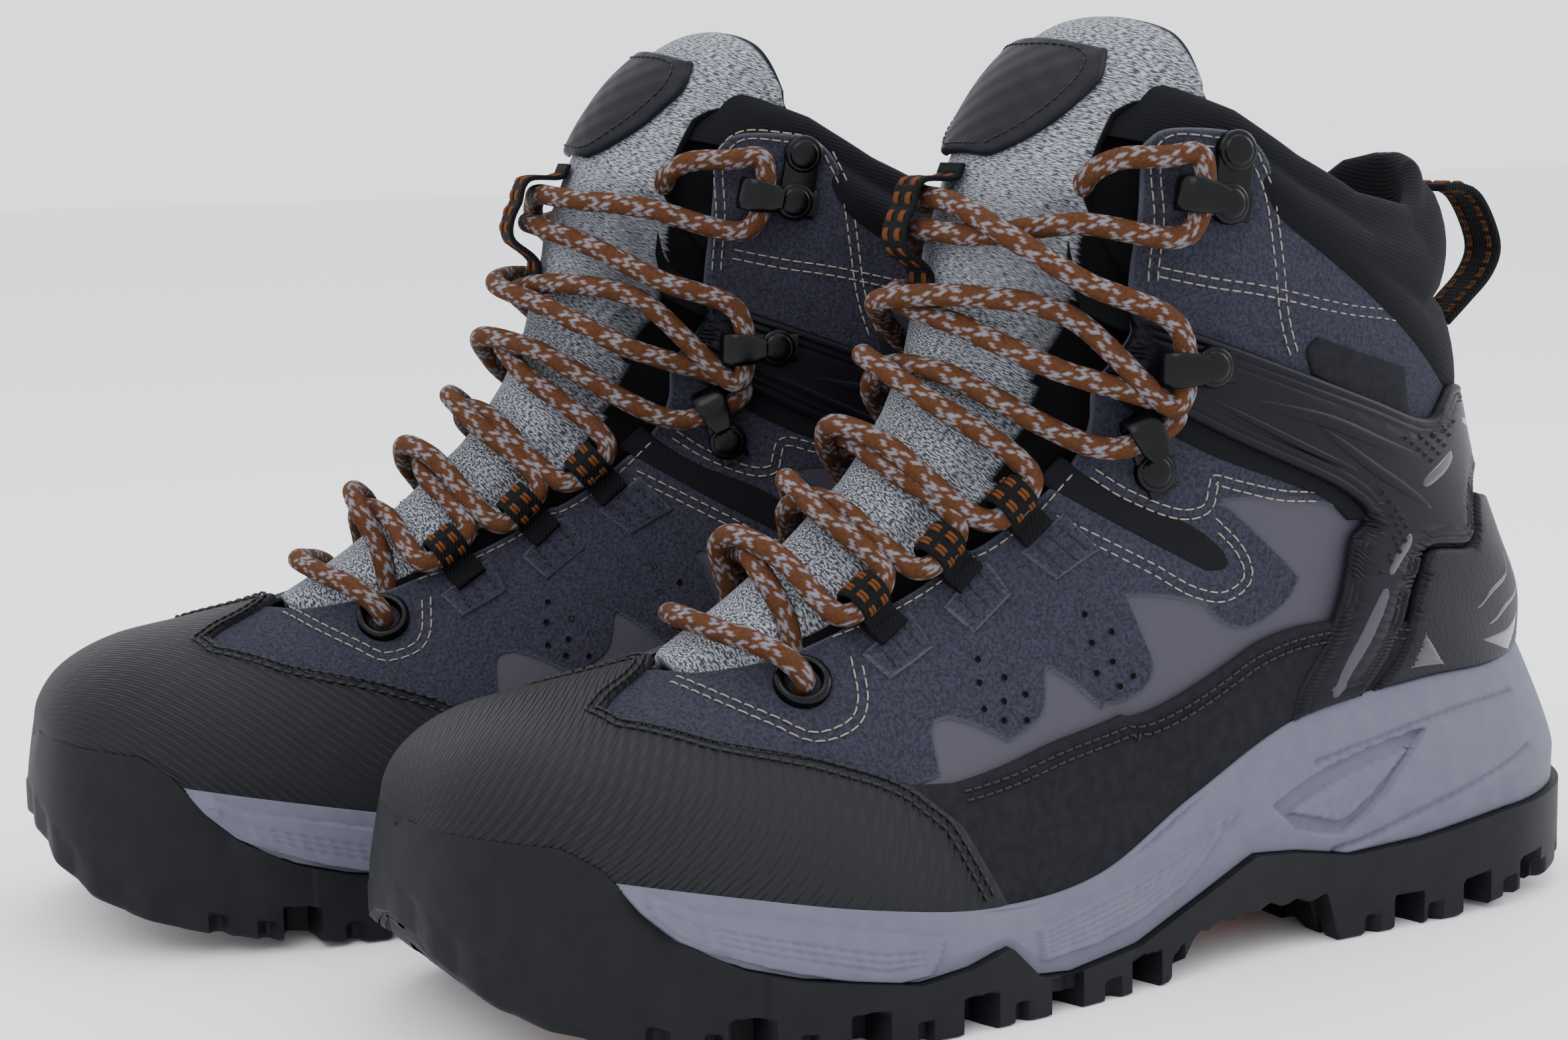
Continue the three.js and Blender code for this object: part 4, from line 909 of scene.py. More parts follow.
def make_toe_cap(black):
    """A cap of brushed leather that thins to a rounded edge, with its seam in the black stitching."""
    cap = Shape()
    rows = 1 - (1 - np.linspace(0, 1, 70)) ** 1.6
    girths = np.linspace(-1, 1, 150)
    edge = follow(TOE_EDGE, np.abs(girths))
    s = 0.03 + rows[:, None] * (edge - 0.03)
    g = np.broadcast_to(girths, s.shape)
    left = (edge - s) * 11
    lift = 0.3 + 1.6 * np.sqrt(1 - (1 - np.clip(left / 1.5, 0, 1)) ** 2) - 0.9 * (left < 0.01)
    world = skin(np.maximum(s, 0.03), g, lift)
    cap.add(world, grid_faces(*s.shape), np.clip(1 - left / 1.2, 0, 1).ravel(),
            chart_of(np.stack([s.ravel(), g.ravel()], -1)))
    build("toe_cap_leather", cap, TOE, nodes=["toe_cap"])
    rim = [(follow(TOE_EDGE, abs(k)) - 0.22, k) for k in np.linspace(-0.97, 0.97, 51)]
    thread(black, [rim], 2.0, BLACK_STITCH, double=-2.0)


def make_rand(black):
    """The nubuck band above the midsole, with its seam in the black stitching."""
    band = Shape()
    for side in (1, -1):
        low = [(5.4, 0.94), (6.3, 0.985), (9, 0.985), (12, 0.985), (12.4, 1.0)]
        start = [(5.4, 0.6), (5.9, 0.66), (6.42, 0.7)]
        runs = [low, [(12.4, 1.0), (13, 1.0)], list(RAND_TOP)[::-1], start[::-1], [(5.4, 0.6), (5.4, 0.94)]]
        patch(band, on_side(runs, side), 0.2, RAND + 0.1, edge=1.2, seams=(0, 1, 4), rim=0.8,
              bump=lumps(5, 0.15))
        line = [(s, g + 0.022) for s, g in RAND_TOP[:-1]]
        thread(black, on_side([line], side), 1.6, BLACK_STITCH, double=2.0 * side)
    build("rand_nubuck", band, NUBUCK, nodes=["rand"])


def make_upper():
    make_quarters()
    black = Shape()
    make_toe_cap(black)
    make_rand(black)
    build("black_stitching", black, BLACK)


CAGE_LOW = [(11.45, 0.335), (11.4, 0.376), (11.62, 0.475), (12.1, 0.56), (12.05, 0.6), (11.3, 0.66),
            (10.12, 0.796), (9.16, 0.94), (8.95, 0.985)]
CAGE_BACK = [(9.52, 0.985), (9.98, 0.92), (11.22, 0.764), (12.3, 0.674), (13.4, 0.712), (14.33, 0.762),
             (14.72, 0.81), (14.9, 0.87), (14.95, 1)]
CAGE_HIGH = [(13.45, 0.292), (13.87, 0.36), (14.41, 0.48), (14.75, 0.58), (14.92, 0.652), (15.15, 0.7),
             (15.45, 0.735), (15.75, 0.78), (15.92, 0.88), (16, 1)]
COUNTER_FRONT = [(9.6, 0.985), (10.05, 0.925), (11.25, 0.77), (12.3, 0.678), (13.4, 0.718), (14.3, 0.768)]
COUNTER_HIGH = [(14.3, 0.768), (14.45, 0.82), (14.6, 0.9), (14.7, 1)]
COUNTER_LOW = [(12.5, 1), (12.2, 0.985), (11, 0.985), (9.6, 0.985)]
GUSSET = [[(11.5, 0.34), (11.7, 0.46), (12.15, 0.56), (12.0, 0.62)], [(12.0, 0.62), (11.6, 0.625)],
          [(11.6, 0.625), (11.7, 0.585), (11.1, 0.51), (10.95, 0.44), (11.05, 0.345)],
          [(11.05, 0.345), (11.5, 0.34)]]
# Raised lines and their widths in millimetres.
RIBS = (([(12.85, 0.412), (13.57, 0.5), (13.87, 0.576), (14.15, 0.64)], 3.4),
        ([(13.3, 0.48), (13.14, 0.548), (13.15, 0.588), (13.12, 0.63)], 3.0),
        ([(12.2, 0.4), (12.5, 0.48), (12.85, 0.54)], 2.0))
STRIPS = (([(14.7, 0.716), (14.05, 0.66), (13.5, 0.618)], 4.0),
          ([(12.2, 0.645), (11.6, 0.69), (11.05, 0.742)], 3.4),
          ([(15.35, 0.78), (15.45, 0.86), (15.5, 0.94), (15.52, 0.99)], 2.6))
INLAY = [(10.85, 0.765), (10.2, 0.84), (9.67, 0.91), (9.3, 0.975)]
COUNTER_LINES = ([(13.7, 0.8), (12.6, 0.778), (11.5, 0.832)], [(13.5, 0.85), (12.5, 0.83), (11.4, 0.88)])
COUNTER_WINDOWS = (((10.63, 0.868), (10.0, 0.955), (10.4, 0.96)),
                   ((12.6, 0.87), (11.15, 0.91), (11.5, 0.97)))
CONE_CORNERS = (((14.29, 0.612), (15.34, 0.76), (14.17, 0.656)),
                ((12.7, 0.572), (12.22, 0.64), (10.78, 0.756)))
RIM_GROOVES = ((2.3, 0.5, 0.4), (4.1, 0.4, 0.35))      # distance from the edge, depth, width
RIM_LANES = (1.8, 2.1, 2.3, 2.5, 2.8, 3.6, 3.9, 4.1, 4.3, 4.6)


def rib(shape, line, side, lift, width, height, taper=0.5):
    """A raised line that swells in its middle and tapers to its ends."""
    path = spline(np.array(line) * (1, side) * SCALE, 1.2) / SCALE
    t = np.linspace(0, 1, len(path))
    swell = np.maximum(np.sin(math.pi * t), 0.02) ** taper
    section = circle(1, 12)[None] * np.stack([swell * width / 2, swell * height], -1)[:, None]
    s, g = path.T
    shape.add(*sweep(skin(s, g, np.full(len(s), lift)), section, skin_normal(s, g)))


def cone_dots(shape, corners, side, lift):
    """A small triangle of raised cones."""
    a, b, c = (np.array(p) for p in corners)
    for i in range(5):
        for j in range(5 - i):
            place = a + (b - a) * i / 4.5 + (c - a) * j / 4.5
            seat = Seat(place[0], place[1] * side, lift)
            points = np.vstack([seat.at(*circle(1.0, 8).T, -0.2), seat.at(out=0.75)[None]])
            shape.add(points, [(k, (k + 1) % 8, 8, 8) for k in range(8)])


def rim_grooves(_station, _girth, distance):
    return -sum(depth * groove(distance - middle, width) for middle, depth, width in RIM_GROOVES)


def corners_to_runs(corners):
    """A closed outline with straight sides."""
    return [[a, b] for a, b in zip(corners, corners[1:] + corners[:1])]


def make_mouldings():
    counter, gloss, cage, relief, gusset, inlay = (Shape() for _ in range(6))
    for side in (1, -1):
        runs = [COUNTER_FRONT, COUNTER_HIGH, [(14.7, 1), (12.5, 1)], COUNTER_LOW]
        patch(counter, on_side(runs, side), MOULD_BASE, 1.9, edge=1.5, seams=(2,), rim=1.0)
        for line in COUNTER_LINES:
            rib(gloss, line, side, MOULD_FACE, 1.5, 0.5)
        for corners in COUNTER_WINDOWS:
            window = on_side(corners_to_runs(corners), side)
            patch(gloss, window, MOULD_FACE - 0.2, 0.6, edge=0.8, cell=1.4)
        runs = [CAGE_LOW, [(8.95, 0.985), (9.52, 0.985)], CAGE_BACK, [(14.95, 1), (16, 1)], CAGE_HIGH[::-1],
                [(13.45, 0.292), (12.4, 0.31), (11.45, 0.335)]]
        patch(cage, on_side(runs, side), MOULD_BASE, 1.8, edge=1.5, seams=(1, 3), rim=0.9,
              bump=rim_grooves, lanes=RIM_LANES)
        for line, width in RIBS:
            rib(relief, line, side, MOULD_FACE, width, 0.75)
        for line, width in STRIPS:
            rib(gloss, line, side, MOULD_FACE - 0.1, width, 0.45, taper=0.12)
        rib(inlay, INLAY, side, MOULD_FACE - 0.1, 5.0, 0.45, taper=0.15)
        for corners in CONE_CORNERS:
            cone_dots(relief, corners, side, MOULD_FACE + 0.2)
        patch(gusset, on_side(GUSSET, side), 0.0, 0.5, edge=0.6, cell=1.8)
    build("gusset_band", gusset, KNIT)
    build("heel_counter_shell", counter, COUNTER, nodes=["heel_counter"])
    build("ankle_cage_shell", cage, MOULDED, nodes=["ankle_cage"])
    build("cage_relief", relief, MOULDED)
    build("cage_gloss", gloss, GLOSS)
    build("cage_inlay", inlay, FILM)


# ---------------------------------------------------------------- collar and tongue
COLLAR_END = 0.262                     # girth of the collar's front ends
COLLAR_COLUMNS = 180
COLLAR_INSIDE = -8.2                   # lift of its lining
COLLAR_SEAM = [(17.05, 0.56), (17.0, 0.66), (17.15, 0.78), (17.35, 0.9), (17.45, 0.985)]


def collar_rows(near, top):
    """The collar's rows of stations and lifts at each distance from the ridge in girth: up the outside
    in two rolls with a fold between them, over a rounded top, and down the soft lining."""
    low = follow(COLLAR_LOW, near)
    edge = np.minimum(follow(QUARTER_TOP, near), top - 0.25)
    proud = smoothstep(0.40, 0.52, near)
    fold = smoothstep(0.55, 0.85, near)
    rows = []
    for t in np.linspace(0, 1, 16):
        roll = np.abs(np.sin(math.pi * np.clip(t * 1.15, 0, 1))) ** 0.6
        double = np.abs(np.sin(2 * math.pi * np.clip(0.06 + t * 0.94, 0, 1))) ** 0.55
        lift = -2.6 + (4.4 * (roll * (1 - fold) + double * fold)) * proud
        rows.append((edge - 0.5 + (top - edge + 0.5) * t, lift))
    outside = rows[-1][1]
    for t in np.linspace(0, 1, 10)[1:]:
        angle = math.pi * t
        lift = outside + (COLLAR_INSIDE - outside) * (1 - np.cos(angle)) / 2
        rows.append((top + 0.34 * np.sin(angle), lift))
    for t in np.linspace(0, 1, 22)[1:]:
        puff = -0.9 * np.abs(np.sin(math.pi * 2 * t)) ** 0.8
        lift = COLLAR_INSIDE + puff + 5.4 * smoothstep(0.8, 1, t)
        rows.append((top - (top - low) * t, np.broadcast_to(lift, near.shape)))
    return np.stack([s for s, _ in rows]), np.stack([lift for _, lift in rows])


def make_collar():
    """A ring of padded knit that thins out towards its front ends."""
    girth = np.linspace(COLLAR_END, 2 - COLLAR_END, COLLAR_COLUMNS)
    near = np.where(girth > 1, 2 - girth, girth)
    s, lift = collar_rows(near, follow(COLLAR_TOP, near) - 0.12)
    ends = np.sqrt(np.clip((near - COLLAR_END) / 0.05, 0, 1))
    middle = np.mean([lift.min(0), lift.max(0)], axis=0)
    lift = middle + (lift - middle) * (0.25 + 0.75 * ends)
    front = follow(COLLAR_FRONT, s) - 0.032
    g = 1 - (1 - near) * (1 - front) / (1 - COLLAR_END)
    g = np.where(girth > 1, 2 - g, g)
    grid = skin(np.minimum(s, TOP - 0.01), g, lift).transpose(1, 0, 2)
    chart = chart_of(np.stack([s.T.ravel(), near.repeat(len(s))], -1))
    shape = Shape().add(grid, grid_faces(COLLAR_COLUMNS, len(s))[:, ::-1], 0, chart)
    for obj in build("collar_padding", shape, KNIT, nodes=["collar"]):
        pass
    seam = Shape()
    for side in (1, -1):
        thread(seam, on_side([COLLAR_SEAM], side), -0.4, COLLAR_STITCH)
    build("collar_stitching", seam, BLACK)


# Half widths in girth, by station: of the whole tongue and of its grey middle.
TONGUE_HALF = ((5, 0.1), (5.25, 0.2), (5.6, 0.28), (6, 0.33), (6.7, 0.4), (7.4, 0.45), (8.7, 0.47),
               (10, 0.46), (12, 0.4), (14, 0.33), (15.2, 0.27), (16, 0.235), (17.6, 0.235), (18.2, 0.27),
               (18.7, 0.33), (19.3, 0.35), (19.75, 0.32))
GREY_HALF = ((5, 0.22), (6.5, 0.3), (7.5, 0.34), (8.6, 0.36), (9.6, 0.33), (11, 0.27), (13, 0.24),
             (15.2, 0.24), (15.8, 0.5), (20, 0.5))
TONGUE_ROLL = 18.6                     # the station where the tongue's top starts to roll back


def tongue_lift(s, g):
    """The tongue's lift: level in the throat's opening, and tucked under its edges."""
    opening = np.minimum(follow(THROAT, s), follow(COLLAR_FRONT, s)) - 0.035
    tuck = follow(((5, -UPPER - 0.8), (9.5, -UPPER - 1.3), (12, -10.6), (15, -6), (16, -0.4), (19, -0.4)), s)
    return -0.4 + (tuck + 0.4) * smoothstep(-0.07, 0, np.abs(g) - opening)


def tongue_place(s, g, lift):
    """The skin up to the label's top, then on and back over the collar in a soft roll."""
    near = np.minimum(s, TONGUE_ROLL)
    beyond = np.maximum(s - TONGUE_ROLL, 0)
    place = skin(near, g, lift)
    place[..., 1] += 9.0 * beyond + 5.5 * beyond**2
    place[..., 2] += 9.5 * beyond - 2.2 * beyond**2
    return place


def make_tongue():
    rows = np.linspace(5.15, 19.75, 230)
    share = np.sin(np.linspace(-1, 1, 71) * math.pi / 2)
    g = follow(TONGUE_HALF, rows)[:, None] * share
    s = rows[:, None] - (0.6 * share**2 + 0.5 * share**4) * smoothstep(17.7, 19.6, rows)[:, None]
    level = np.broadcast_to(rows[:, None], g.shape)
    ribs = 0.3 * np.abs(np.sin(math.pi * s * 0.9)) ** 0.6
    ribs = ribs * smoothstep(6.5, 7.5, s) * (1 - smoothstep(11, 12, s))
    channel = -0.8 * np.exp(-((np.abs(g) - 0.15) / 0.012) ** 2) * smoothstep(11.5, 12.5, s)
    channel = channel * (1 - smoothstep(15.8, 16.2, s))
    edge = np.sqrt(np.clip(1 - ((np.abs(share) - 0.88) / 0.12).clip(0, 1) ** 2, 0, 1))
    top_round = np.sqrt(np.clip(1 - ((level - 19.3) / 0.46).clip(0, 1) ** 2, 0, 1))
    drop = 5.5 * smoothstep(0.19, 0.34, np.abs(g)) * smoothstep(17.6, 18.4, level)
    puff = np.minimum(edge[None], top_round)
    upper = tongue_lift(s, g) - 0.35 + ribs + channel - 2.3 * (1 - puff) - drop
    under = tongue_lift(s, g) - 5 + 2.3 * (1 - puff) - drop
    both = np.concatenate([tongue_place(s, g, upper), tongue_place(s, g, under)[:, ::-1]], axis=1)
    columns = both.shape[1]
    shape = Shape()
    piping = (np.abs(share)[None] > 0.965) | (level > 19.66) | (np.abs(g) > follow(GREY_HALF, level))
    tint = np.concatenate([piping, np.ones(g.shape)], axis=1).astype(float)
    chart_g = np.concatenate([g, g[:, ::-1]], axis=1)
    chart_s = np.concatenate([s, s], axis=1)
    chart = np.stack([chart_g * SCALE[1], chart_s * SCALE[0], np.zeros(chart_g.shape)], -1)
    faces = grid_faces(len(rows), columns, ring=True)
    shape.add(both, faces, tint.ravel(), chart)
    half_columns = columns // 2
    for row in (0, len(rows) - 1):
        first = row * columns
        caps = [(first + k, first + k + 1, first + columns - 2 - k, first + columns - 1 - k)
                for k in range(half_columns - 1)]
        shape.faces.append(np.array(caps)[:, ::1 if row else -1])
    made = build("tongue_padding", shape, HEATHER, body=None, nodes=["tongue", "tongue_flap"])
    for obj, (prefix, side) in zip(made, BOOTS):
        low, high = (to_row(skin_point(at, 0.0), side) for at in (14.9, 17.0))
        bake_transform(obj)


def make_label():
    """A plain leather patch on the tongue's top, with a seam near its edge."""
    label = Shape()
    right = [(16.2, 0.075), (16.5, 0.11), (17, 0.15), (17.5, 0.175), (18.1, 0.19), (18.6, 0.165)]
    runs = [[(16.2, 0.07), (16.2, -0.07)], [(s, -h) for s, h in right],
            [(18.6, -0.165), (18.68, 0), (18.6, 0.165)], right[::-1]]
    patch(label, runs, 0.5, 1.5, edge=1.3, rim=0.9)
    build("tongue_label_leather", label, LABEL, body="tongue_top", nodes=["tongue_label"])
    line = Shape()
    ring = [(16.42, 0.065), (16.9, 0.11), (17.5, 0.145), (18.05, 0.158), (18.42, 0.14), (18.48, 0),
            (18.42, -0.14), (18.05, -0.158), (17.5, -0.145), (16.9, -0.11), (16.42, -0.065), (16.38, 0)]
    thread(line, [ring + [(16.42, 0.06)]], 2.05, FINE_STITCH)
    build("label_stitching", line, BLACK, body="tongue_top")


# ---------------------------------------------------------------- webbing and hardware
def dashes(shape, path, ups, offset, lift):
    """A column of contrast yarn woven along a strap."""
    side = unit(np.cross(unit(np.gradient(path, axis=0)), ups))
    stitch_row(shape, path + side * offset + ups * lift, ups, pitch=4.2, length=2.5, radius=0.42)


def bent_strap(seat, line, spacing):
    """A path bent in the (forward, outward) plane of a seat, with the direction across its face."""
    flat = spline(line, spacing)
    tangent = unit(np.gradient(flat, axis=0))
    return (seat.at(flat[:, 0], 0.0, flat[:, 1]),
            tangent[:, 1:] * seat.forward - tangent[:, :1] * seat.out)


TAB_CORNERS = ((-0.32, 0.055), (0.32, 0.05), (0.25, 0.13), (-0.27, 0.125))     # from its lace loop
HEEL_RING = ((270.8, 168.6), (275, 169), (281, 167), (286.5, 159), (288, 153), (285.5, 147.5), (279, 141.5),
             (272.6, 136.2))                                                    # (y, z) of its middle


def make_keeper(marks):
    """The strip on the tongue that the lace passes behind."""
    rise = ((11.4, 0), (11.75, 0.3), (12.6, 7.8), (13.8, 8.3), (15, 7.8), (15.5, 0.3), (15.9, 0))
    line = spline([(s * SCALE[0], r) for s, r in rise], 1.0)
    s, r = line[:, 0] / SCALE[0], line[:, 1]
    path = skin(s, np.zeros(len(s)), 0.7 + np.maximum(r, 0))
    ups = skin_normal(s, np.zeros(len(s)))
    keeper = Shape().add(*sweep(path, rounded(WEB_WIDE, 1.2, 0.45), ups))
    build("lace_keeper_strap", keeper, WEBBING, nodes=["lace_keeper"])
    for offset in (-3, -2.1, 2.1, 3):
        dashes(marks, path, ups, offset, 0.62)


def make_lace_loops(marks):
    """Six webbing loops, each with the suede patch and bar tacks that hold its tails."""
    tabs, rows = Shape(), Shape()
    for side, word in ((1, "outer"), (-1, "inner")):
        for k in range(3):
            seat = loop_seat(k, side)
            ring = [(-9.5, -4), (-7.5, -4.15), (-5, -4.2)]
            ring += [(3.75 * math.sin(a), -3.75 * math.cos(a)) for a in np.radians(np.arange(-4, 300, 19))]
            ring += [(-5.2, -2.7), (-7.5, -3), (-9.5, -3.1)]
            path, ups = bent_strap(seat, ring, 0.8)
            strap = Shape().add(*sweep(path, rounded(WEB_LOOP, 1.1, 0.4), ups))
            around = slice(6, len(path) - 8)
            for offset in (-2.3, -1.4, 1.4, 2.3):
                dashes(marks, path[around], ups[around], offset, 0.5)
            s, g = LACE_LOOPS[k]
            tab = corners_to_runs([(s + up, g + out) for up, out in TAB_CORNERS])
            patch(tabs, on_side(tab, side), 0.1, 0.9, edge=0.7, cell=1.6, rim=0.7)
            for lane in (-0.16, 0, 0.16):
                line = [(s + lane, g + 0.06), (s + lane, g + 0.09), (s + lane, g + 0.12)]
                thread(rows, on_side([line], side), 1.0, TACK_STITCH)
            build(f"lace_loop_{word}_{k + 1}_web", strap, WEBBING,
                  nodes=[f"lace_loop_{word}_{k + 1}"])
    build("loop_marks", marks, ORANGE)
    build("loop_tabs", tabs, SUEDE)
    build("loop_bartacks", rows, BLACK)


def make_heel_loop():
    flat = spline(HEEL_RING, 1.0)
    path = np.stack([np.zeros(len(flat)), flat[:, 0], flat[:, 1]], -1)
    tangent = np.gradient(flat, axis=0)
    ups = unit(np.stack([np.zeros(len(flat)), -tangent[:, 1], tangent[:, 0]], -1))
    heel = Shape().add(*sweep(path, rounded(WEB_HEEL, 1.7, 0.5), ups))
    build("heel_loop_strap", heel, WEBBING, body="pull_loop", nodes=["heel_loop"])
    edge = Shape()
    for offset in (-3.9, -3, 3, 3.9):
        for lift in (0.8, -0.8):
            dashes(edge, path, ups, offset, lift)
    build("heel_loop_marks", edge, ORANGE, body="pull_loop")


def make_webbing():
    marks = Shape()
    make_keeper(marks)
    make_lace_loops(marks)
    make_heel_loop()


# Radius and height round a rivet's head and an eyelet's ring, and a hook's width along its length.
RIVET_PROFILE = ((4.6, -0.5), (4.6, 1.3), (4.3, 1.7), (3.8, 1.9), (3.5, 1.9), (3.2, 2.3), (2.4, 2.5),
                 (1.2, 2.55), (0, 2.55))
EYELET_PROFILE = ((4.0, -1.5), (4.0, 1.0), (4.3, 1.7), (5.0, 2.0), (5.8, 1.7), (6.2, 1.0), (6.3, -0.4))
HOOK_WIDTHS = ((0, 7), (0.2, 7), (0.4, 6.2), (0.6, 7.6), (0.8, 7.8), (0.93, 6.6), (1, 4.4))
RIVET_PLACE = -0.5                     # the rivets' place behind the hook's seat
SECOND_RIVET = 11.5                    # the top hook's second rivet is this much higher


def turned(seat, profile, count, forward=0.0, up=0.0):
    """A profile turned about a seat's outward direction."""
    rings = [circle(radius, count) for radius, _ in profile]
    points = [seat.at(forward + ring[:, 0], up + ring[:, 1], height)
              for ring, (_, height) in zip(rings, profile)]
    return np.array(points), grid_faces(len(profile), count, ring=True)


def hook_line():
    """The middle of a hook's metal: flat on the boot, round the lace's room, and back over it."""
    low = METAL / 2
    middle = METAL + HOOK_ROOM
    bend = middle - low
    line = [(-5.5, low), (-2, low), (3, low), (HOOK_REACH - 2, low)]
    line += [(HOOK_REACH + bend * math.sin(a), middle - bend * math.cos(a))
             for a in np.radians(np.arange(0, 181, 20))]
    return line + [(HOOK_REACH - 3.5, middle + bend), (HOOK_REACH - 6.2, middle + bend + 0.5)]


def make_hardware():
    for side, word in ((1, "outer"), (-1, "inner")):
        for k in range(3):
            seat = hook_seat(k, side)
            path, down = bent_strap(seat, hook_line(), 0.6)
            half = follow(HOOK_WIDTHS, np.linspace(0, 1, len(path))) / 2
            section = rounded(2, METAL, 0.55) * np.stack([half, np.ones(len(path))], -1)[:, None]
            shape = Shape().add(*sweep(path, section, -down))
            for up in (0, SECOND_RIVET)[:1 if k < 2 else 2]:
                shape.add(*turned(seat, RIVET_PROFILE, 24, RIVET_PLACE, up))
            if k == 2:
                spine = seat.at(np.full(6, RIVET_PLACE), np.linspace(-2, 13, 6), 0.7)
                shape.add(*sweep(spine, rounded(8.6, 1.5, 0.5), np.tile(seat.out, (6, 1))))
            build(f"lace_hook_{word}_{k + 1}_metal", shape, HOOK, nodes=[f"lace_hook_{word}_{k + 1}"],
                  angle=50)
        points, faces = turned(Seat(EYELET[0], EYELET[1] * side, 0.4), EYELET_PROFILE, 28)
        ring = Shape().add(points, faces[:, ::-1])
        build(f"eyelet_{word}_ring", ring, HOOK, nodes=[f"eyelet_{word}"])


# ---------------------------------------------------------------- sole
SLOT_DEPTH = 8.5                       # into the side wall, at the gaps between lugs
NOTCH_DEPTH = 2.5
ARCH_ENDS = (165, 209)                 # the part of the sole that stays off the ground
# Half widths along the sole, outside and inside, from the toe tip.
SOLE_OUTSIDE = ((0, 4), (1.5, 14), (4, 23), (8, 30.5), (14, 37.5), (24, 44.5), (42, 51), (60, 54.5), (86, 57),
                (110, 57), (140, 53), (170, 48), (200, 43.5), (230, 42), (255, 41), (272, 38.5), (285, 32),
                (294, 24), (300, 15), (304, 4))
SOLE_INSIDE = ((0, 4), (1.5, 16), (4, 25), (8, 32.5), (14, 39), (24, 45.5), (42, 50), (60, 51), (86, 49),
               (110, 45.5), (140, 41.5), (170, 39.5), (200, 38.5), (230, 39), (255, 39), (272, 36), (285, 30),
               (294, 22), (300, 14), (304, 4))
# Heights along the sole: the tread's lower edge, the foam's lower edge and the plate's top.
TREAD = ((0, 26), (4, 19), (10, 14), (18, 10.5), (30, 7), (50, 3), (72, 0.6), (90, 0), (160, 0), (164, 3),
         (170, 9.5), (190, 11), (209, 10), (212, 0), (248, 0), (264, 2.2), (286, 4.6), (296, 6.5), (304, 10))
FOAM_FOOT = ((0, 48), (20, 46.5), (28, 42), (36, 33), (43, 27), (56, 20.5), (68, 17), (94, 12.5), (106, 14),
             (116, 17), (124, 9), (133, 8), (152, 10.4), (171, 17.7), (187, 24), (200, 22.6), (216, 19.5),
             (237, 20.3), (264, 23.6), (285, 24.6), (304, 25))
PLATE_TOP = ((30, 13), (50, 9.5), (72, 7), (90, 6.4), (140, 6), (158, 7.5), (172, 13.5), (206, 14))
# Where the side wall has deep slots and shallow notches between its lugs.
SLOTS = (57, 82, 108, 131, 154, 233, 254, 273)
NOTCHES = (38, 49, 69, 95, 119, 144, 163, 222, 241, 265, 278, 290, 297)
RECESS_HALF = 21.5                     # half width of the tread's recess for the plate
RECESS_ENDS = (31, 205)
CUP_END = 50                           # the toe bumper's cup covers the foam up to this y


def outline(inset, step):
    """The sole's edge as even points from the toe along the outside, round the heel and back."""
    out = [(half, y) for y, half in SOLE_OUTSIDE]
    back = [(-half, y) for y, half in SOLE_INSIDE[::-1]]
    line = spline(np.array(out + back), step, closed=True)
    tangent = np.roll(line, -1, 0) - np.roll(line, 1, 0)
    for _ in range(6):
        tangent = (np.roll(tangent, 1, 0) + 2 * tangent + np.roll(tangent, -1, 0)) / 4
    normal = unit(np.stack([tangent[:, 1], -tangent[:, 0]], -1))
    return line - normal * inset, normal


def near_line(points, line):
    """Distance of each (y, z) point to a polyline."""
    fine = spline(np.array(line, float), 1.0)
    return nearest(points.reshape(-1, 2), fine).reshape(points.shape[:-1])


def region(points, corners, soft):
    """1 inside a closed outline in (y, z), 0 outside, with a soft edge."""
    loop = even(np.array(tuple(corners) + tuple(corners[:1]), float), 0.7, closed=True)
    flat = points.reshape(-1, 2)
    distance = nearest(flat, loop) * np.where(inside(loop, flat), 1, -1)
    return smoothstep(-soft, soft, distance).reshape(points.shape[:-1])


def groove(distance, width):
    return np.exp(-(distance / width) ** 2)


# Lines in (y, z) on the foam's wall: the raised panel and swoosh, the recess with its raised middle,
# and the creases.
PANEL_TOP = ((37, 37.5), (47, 33), (65, 29), (86, 24), (101, 21))
PANEL_LOW = ((38, 33), (45, 26.5), (62, 20), (86, 13), (97, 14))
SWOOSH_TOP = ((125, 18.5), (134, 20.5), (152, 24.2), (169, 29.3), (184, 35.5))
SWOOSH_LOW = ((125, 12), (140, 13), (153, 15.8), (166.5, 21.6), (181, 33))
LENS = ((194, 34), (203, 37.5), (211, 40.2), (225, 43), (242, 45.5), (234, 38.5), (227, 32), (221, 28),
        (215, 24.5), (208, 25.5), (201, 27.5))
LENS_EYE = ((199, 31.5), (207, 34.5), (215, 37), (237, 41.8), (227, 34.5), (221, 30.5), (214.5, 27))
LENS_LINES = tuple(((203 + 3.4 * k, 28.6 - 0.9 * k), (207 + 4 * k, 31.5 + 0.6 * k)) for k in range(5))
CREASES = (((212, 20.8), (222, 22.3), (233, 25.2), (246, 28.6), (258, 31.8), (275, 36.5)),
           ((208, 41.5), (221, 43.6), (234, 45.6), (247, 47.4), (260, 48.5), (277, 49)),
           ((110, 25), (124, 24), (140, 26), (158, 31), (172, 38), (184, 45)))


def between(low, high, share):
    """A line between two others, at a share of the way up."""
    ys = np.linspace(max(low[0][0], high[0][0]) + 2, min(low[-1][0], high[-1][0]) - 2, 14)
    return [(y, follow(low, y) * (1 - share) + follow(high, y) * share) for y in ys]


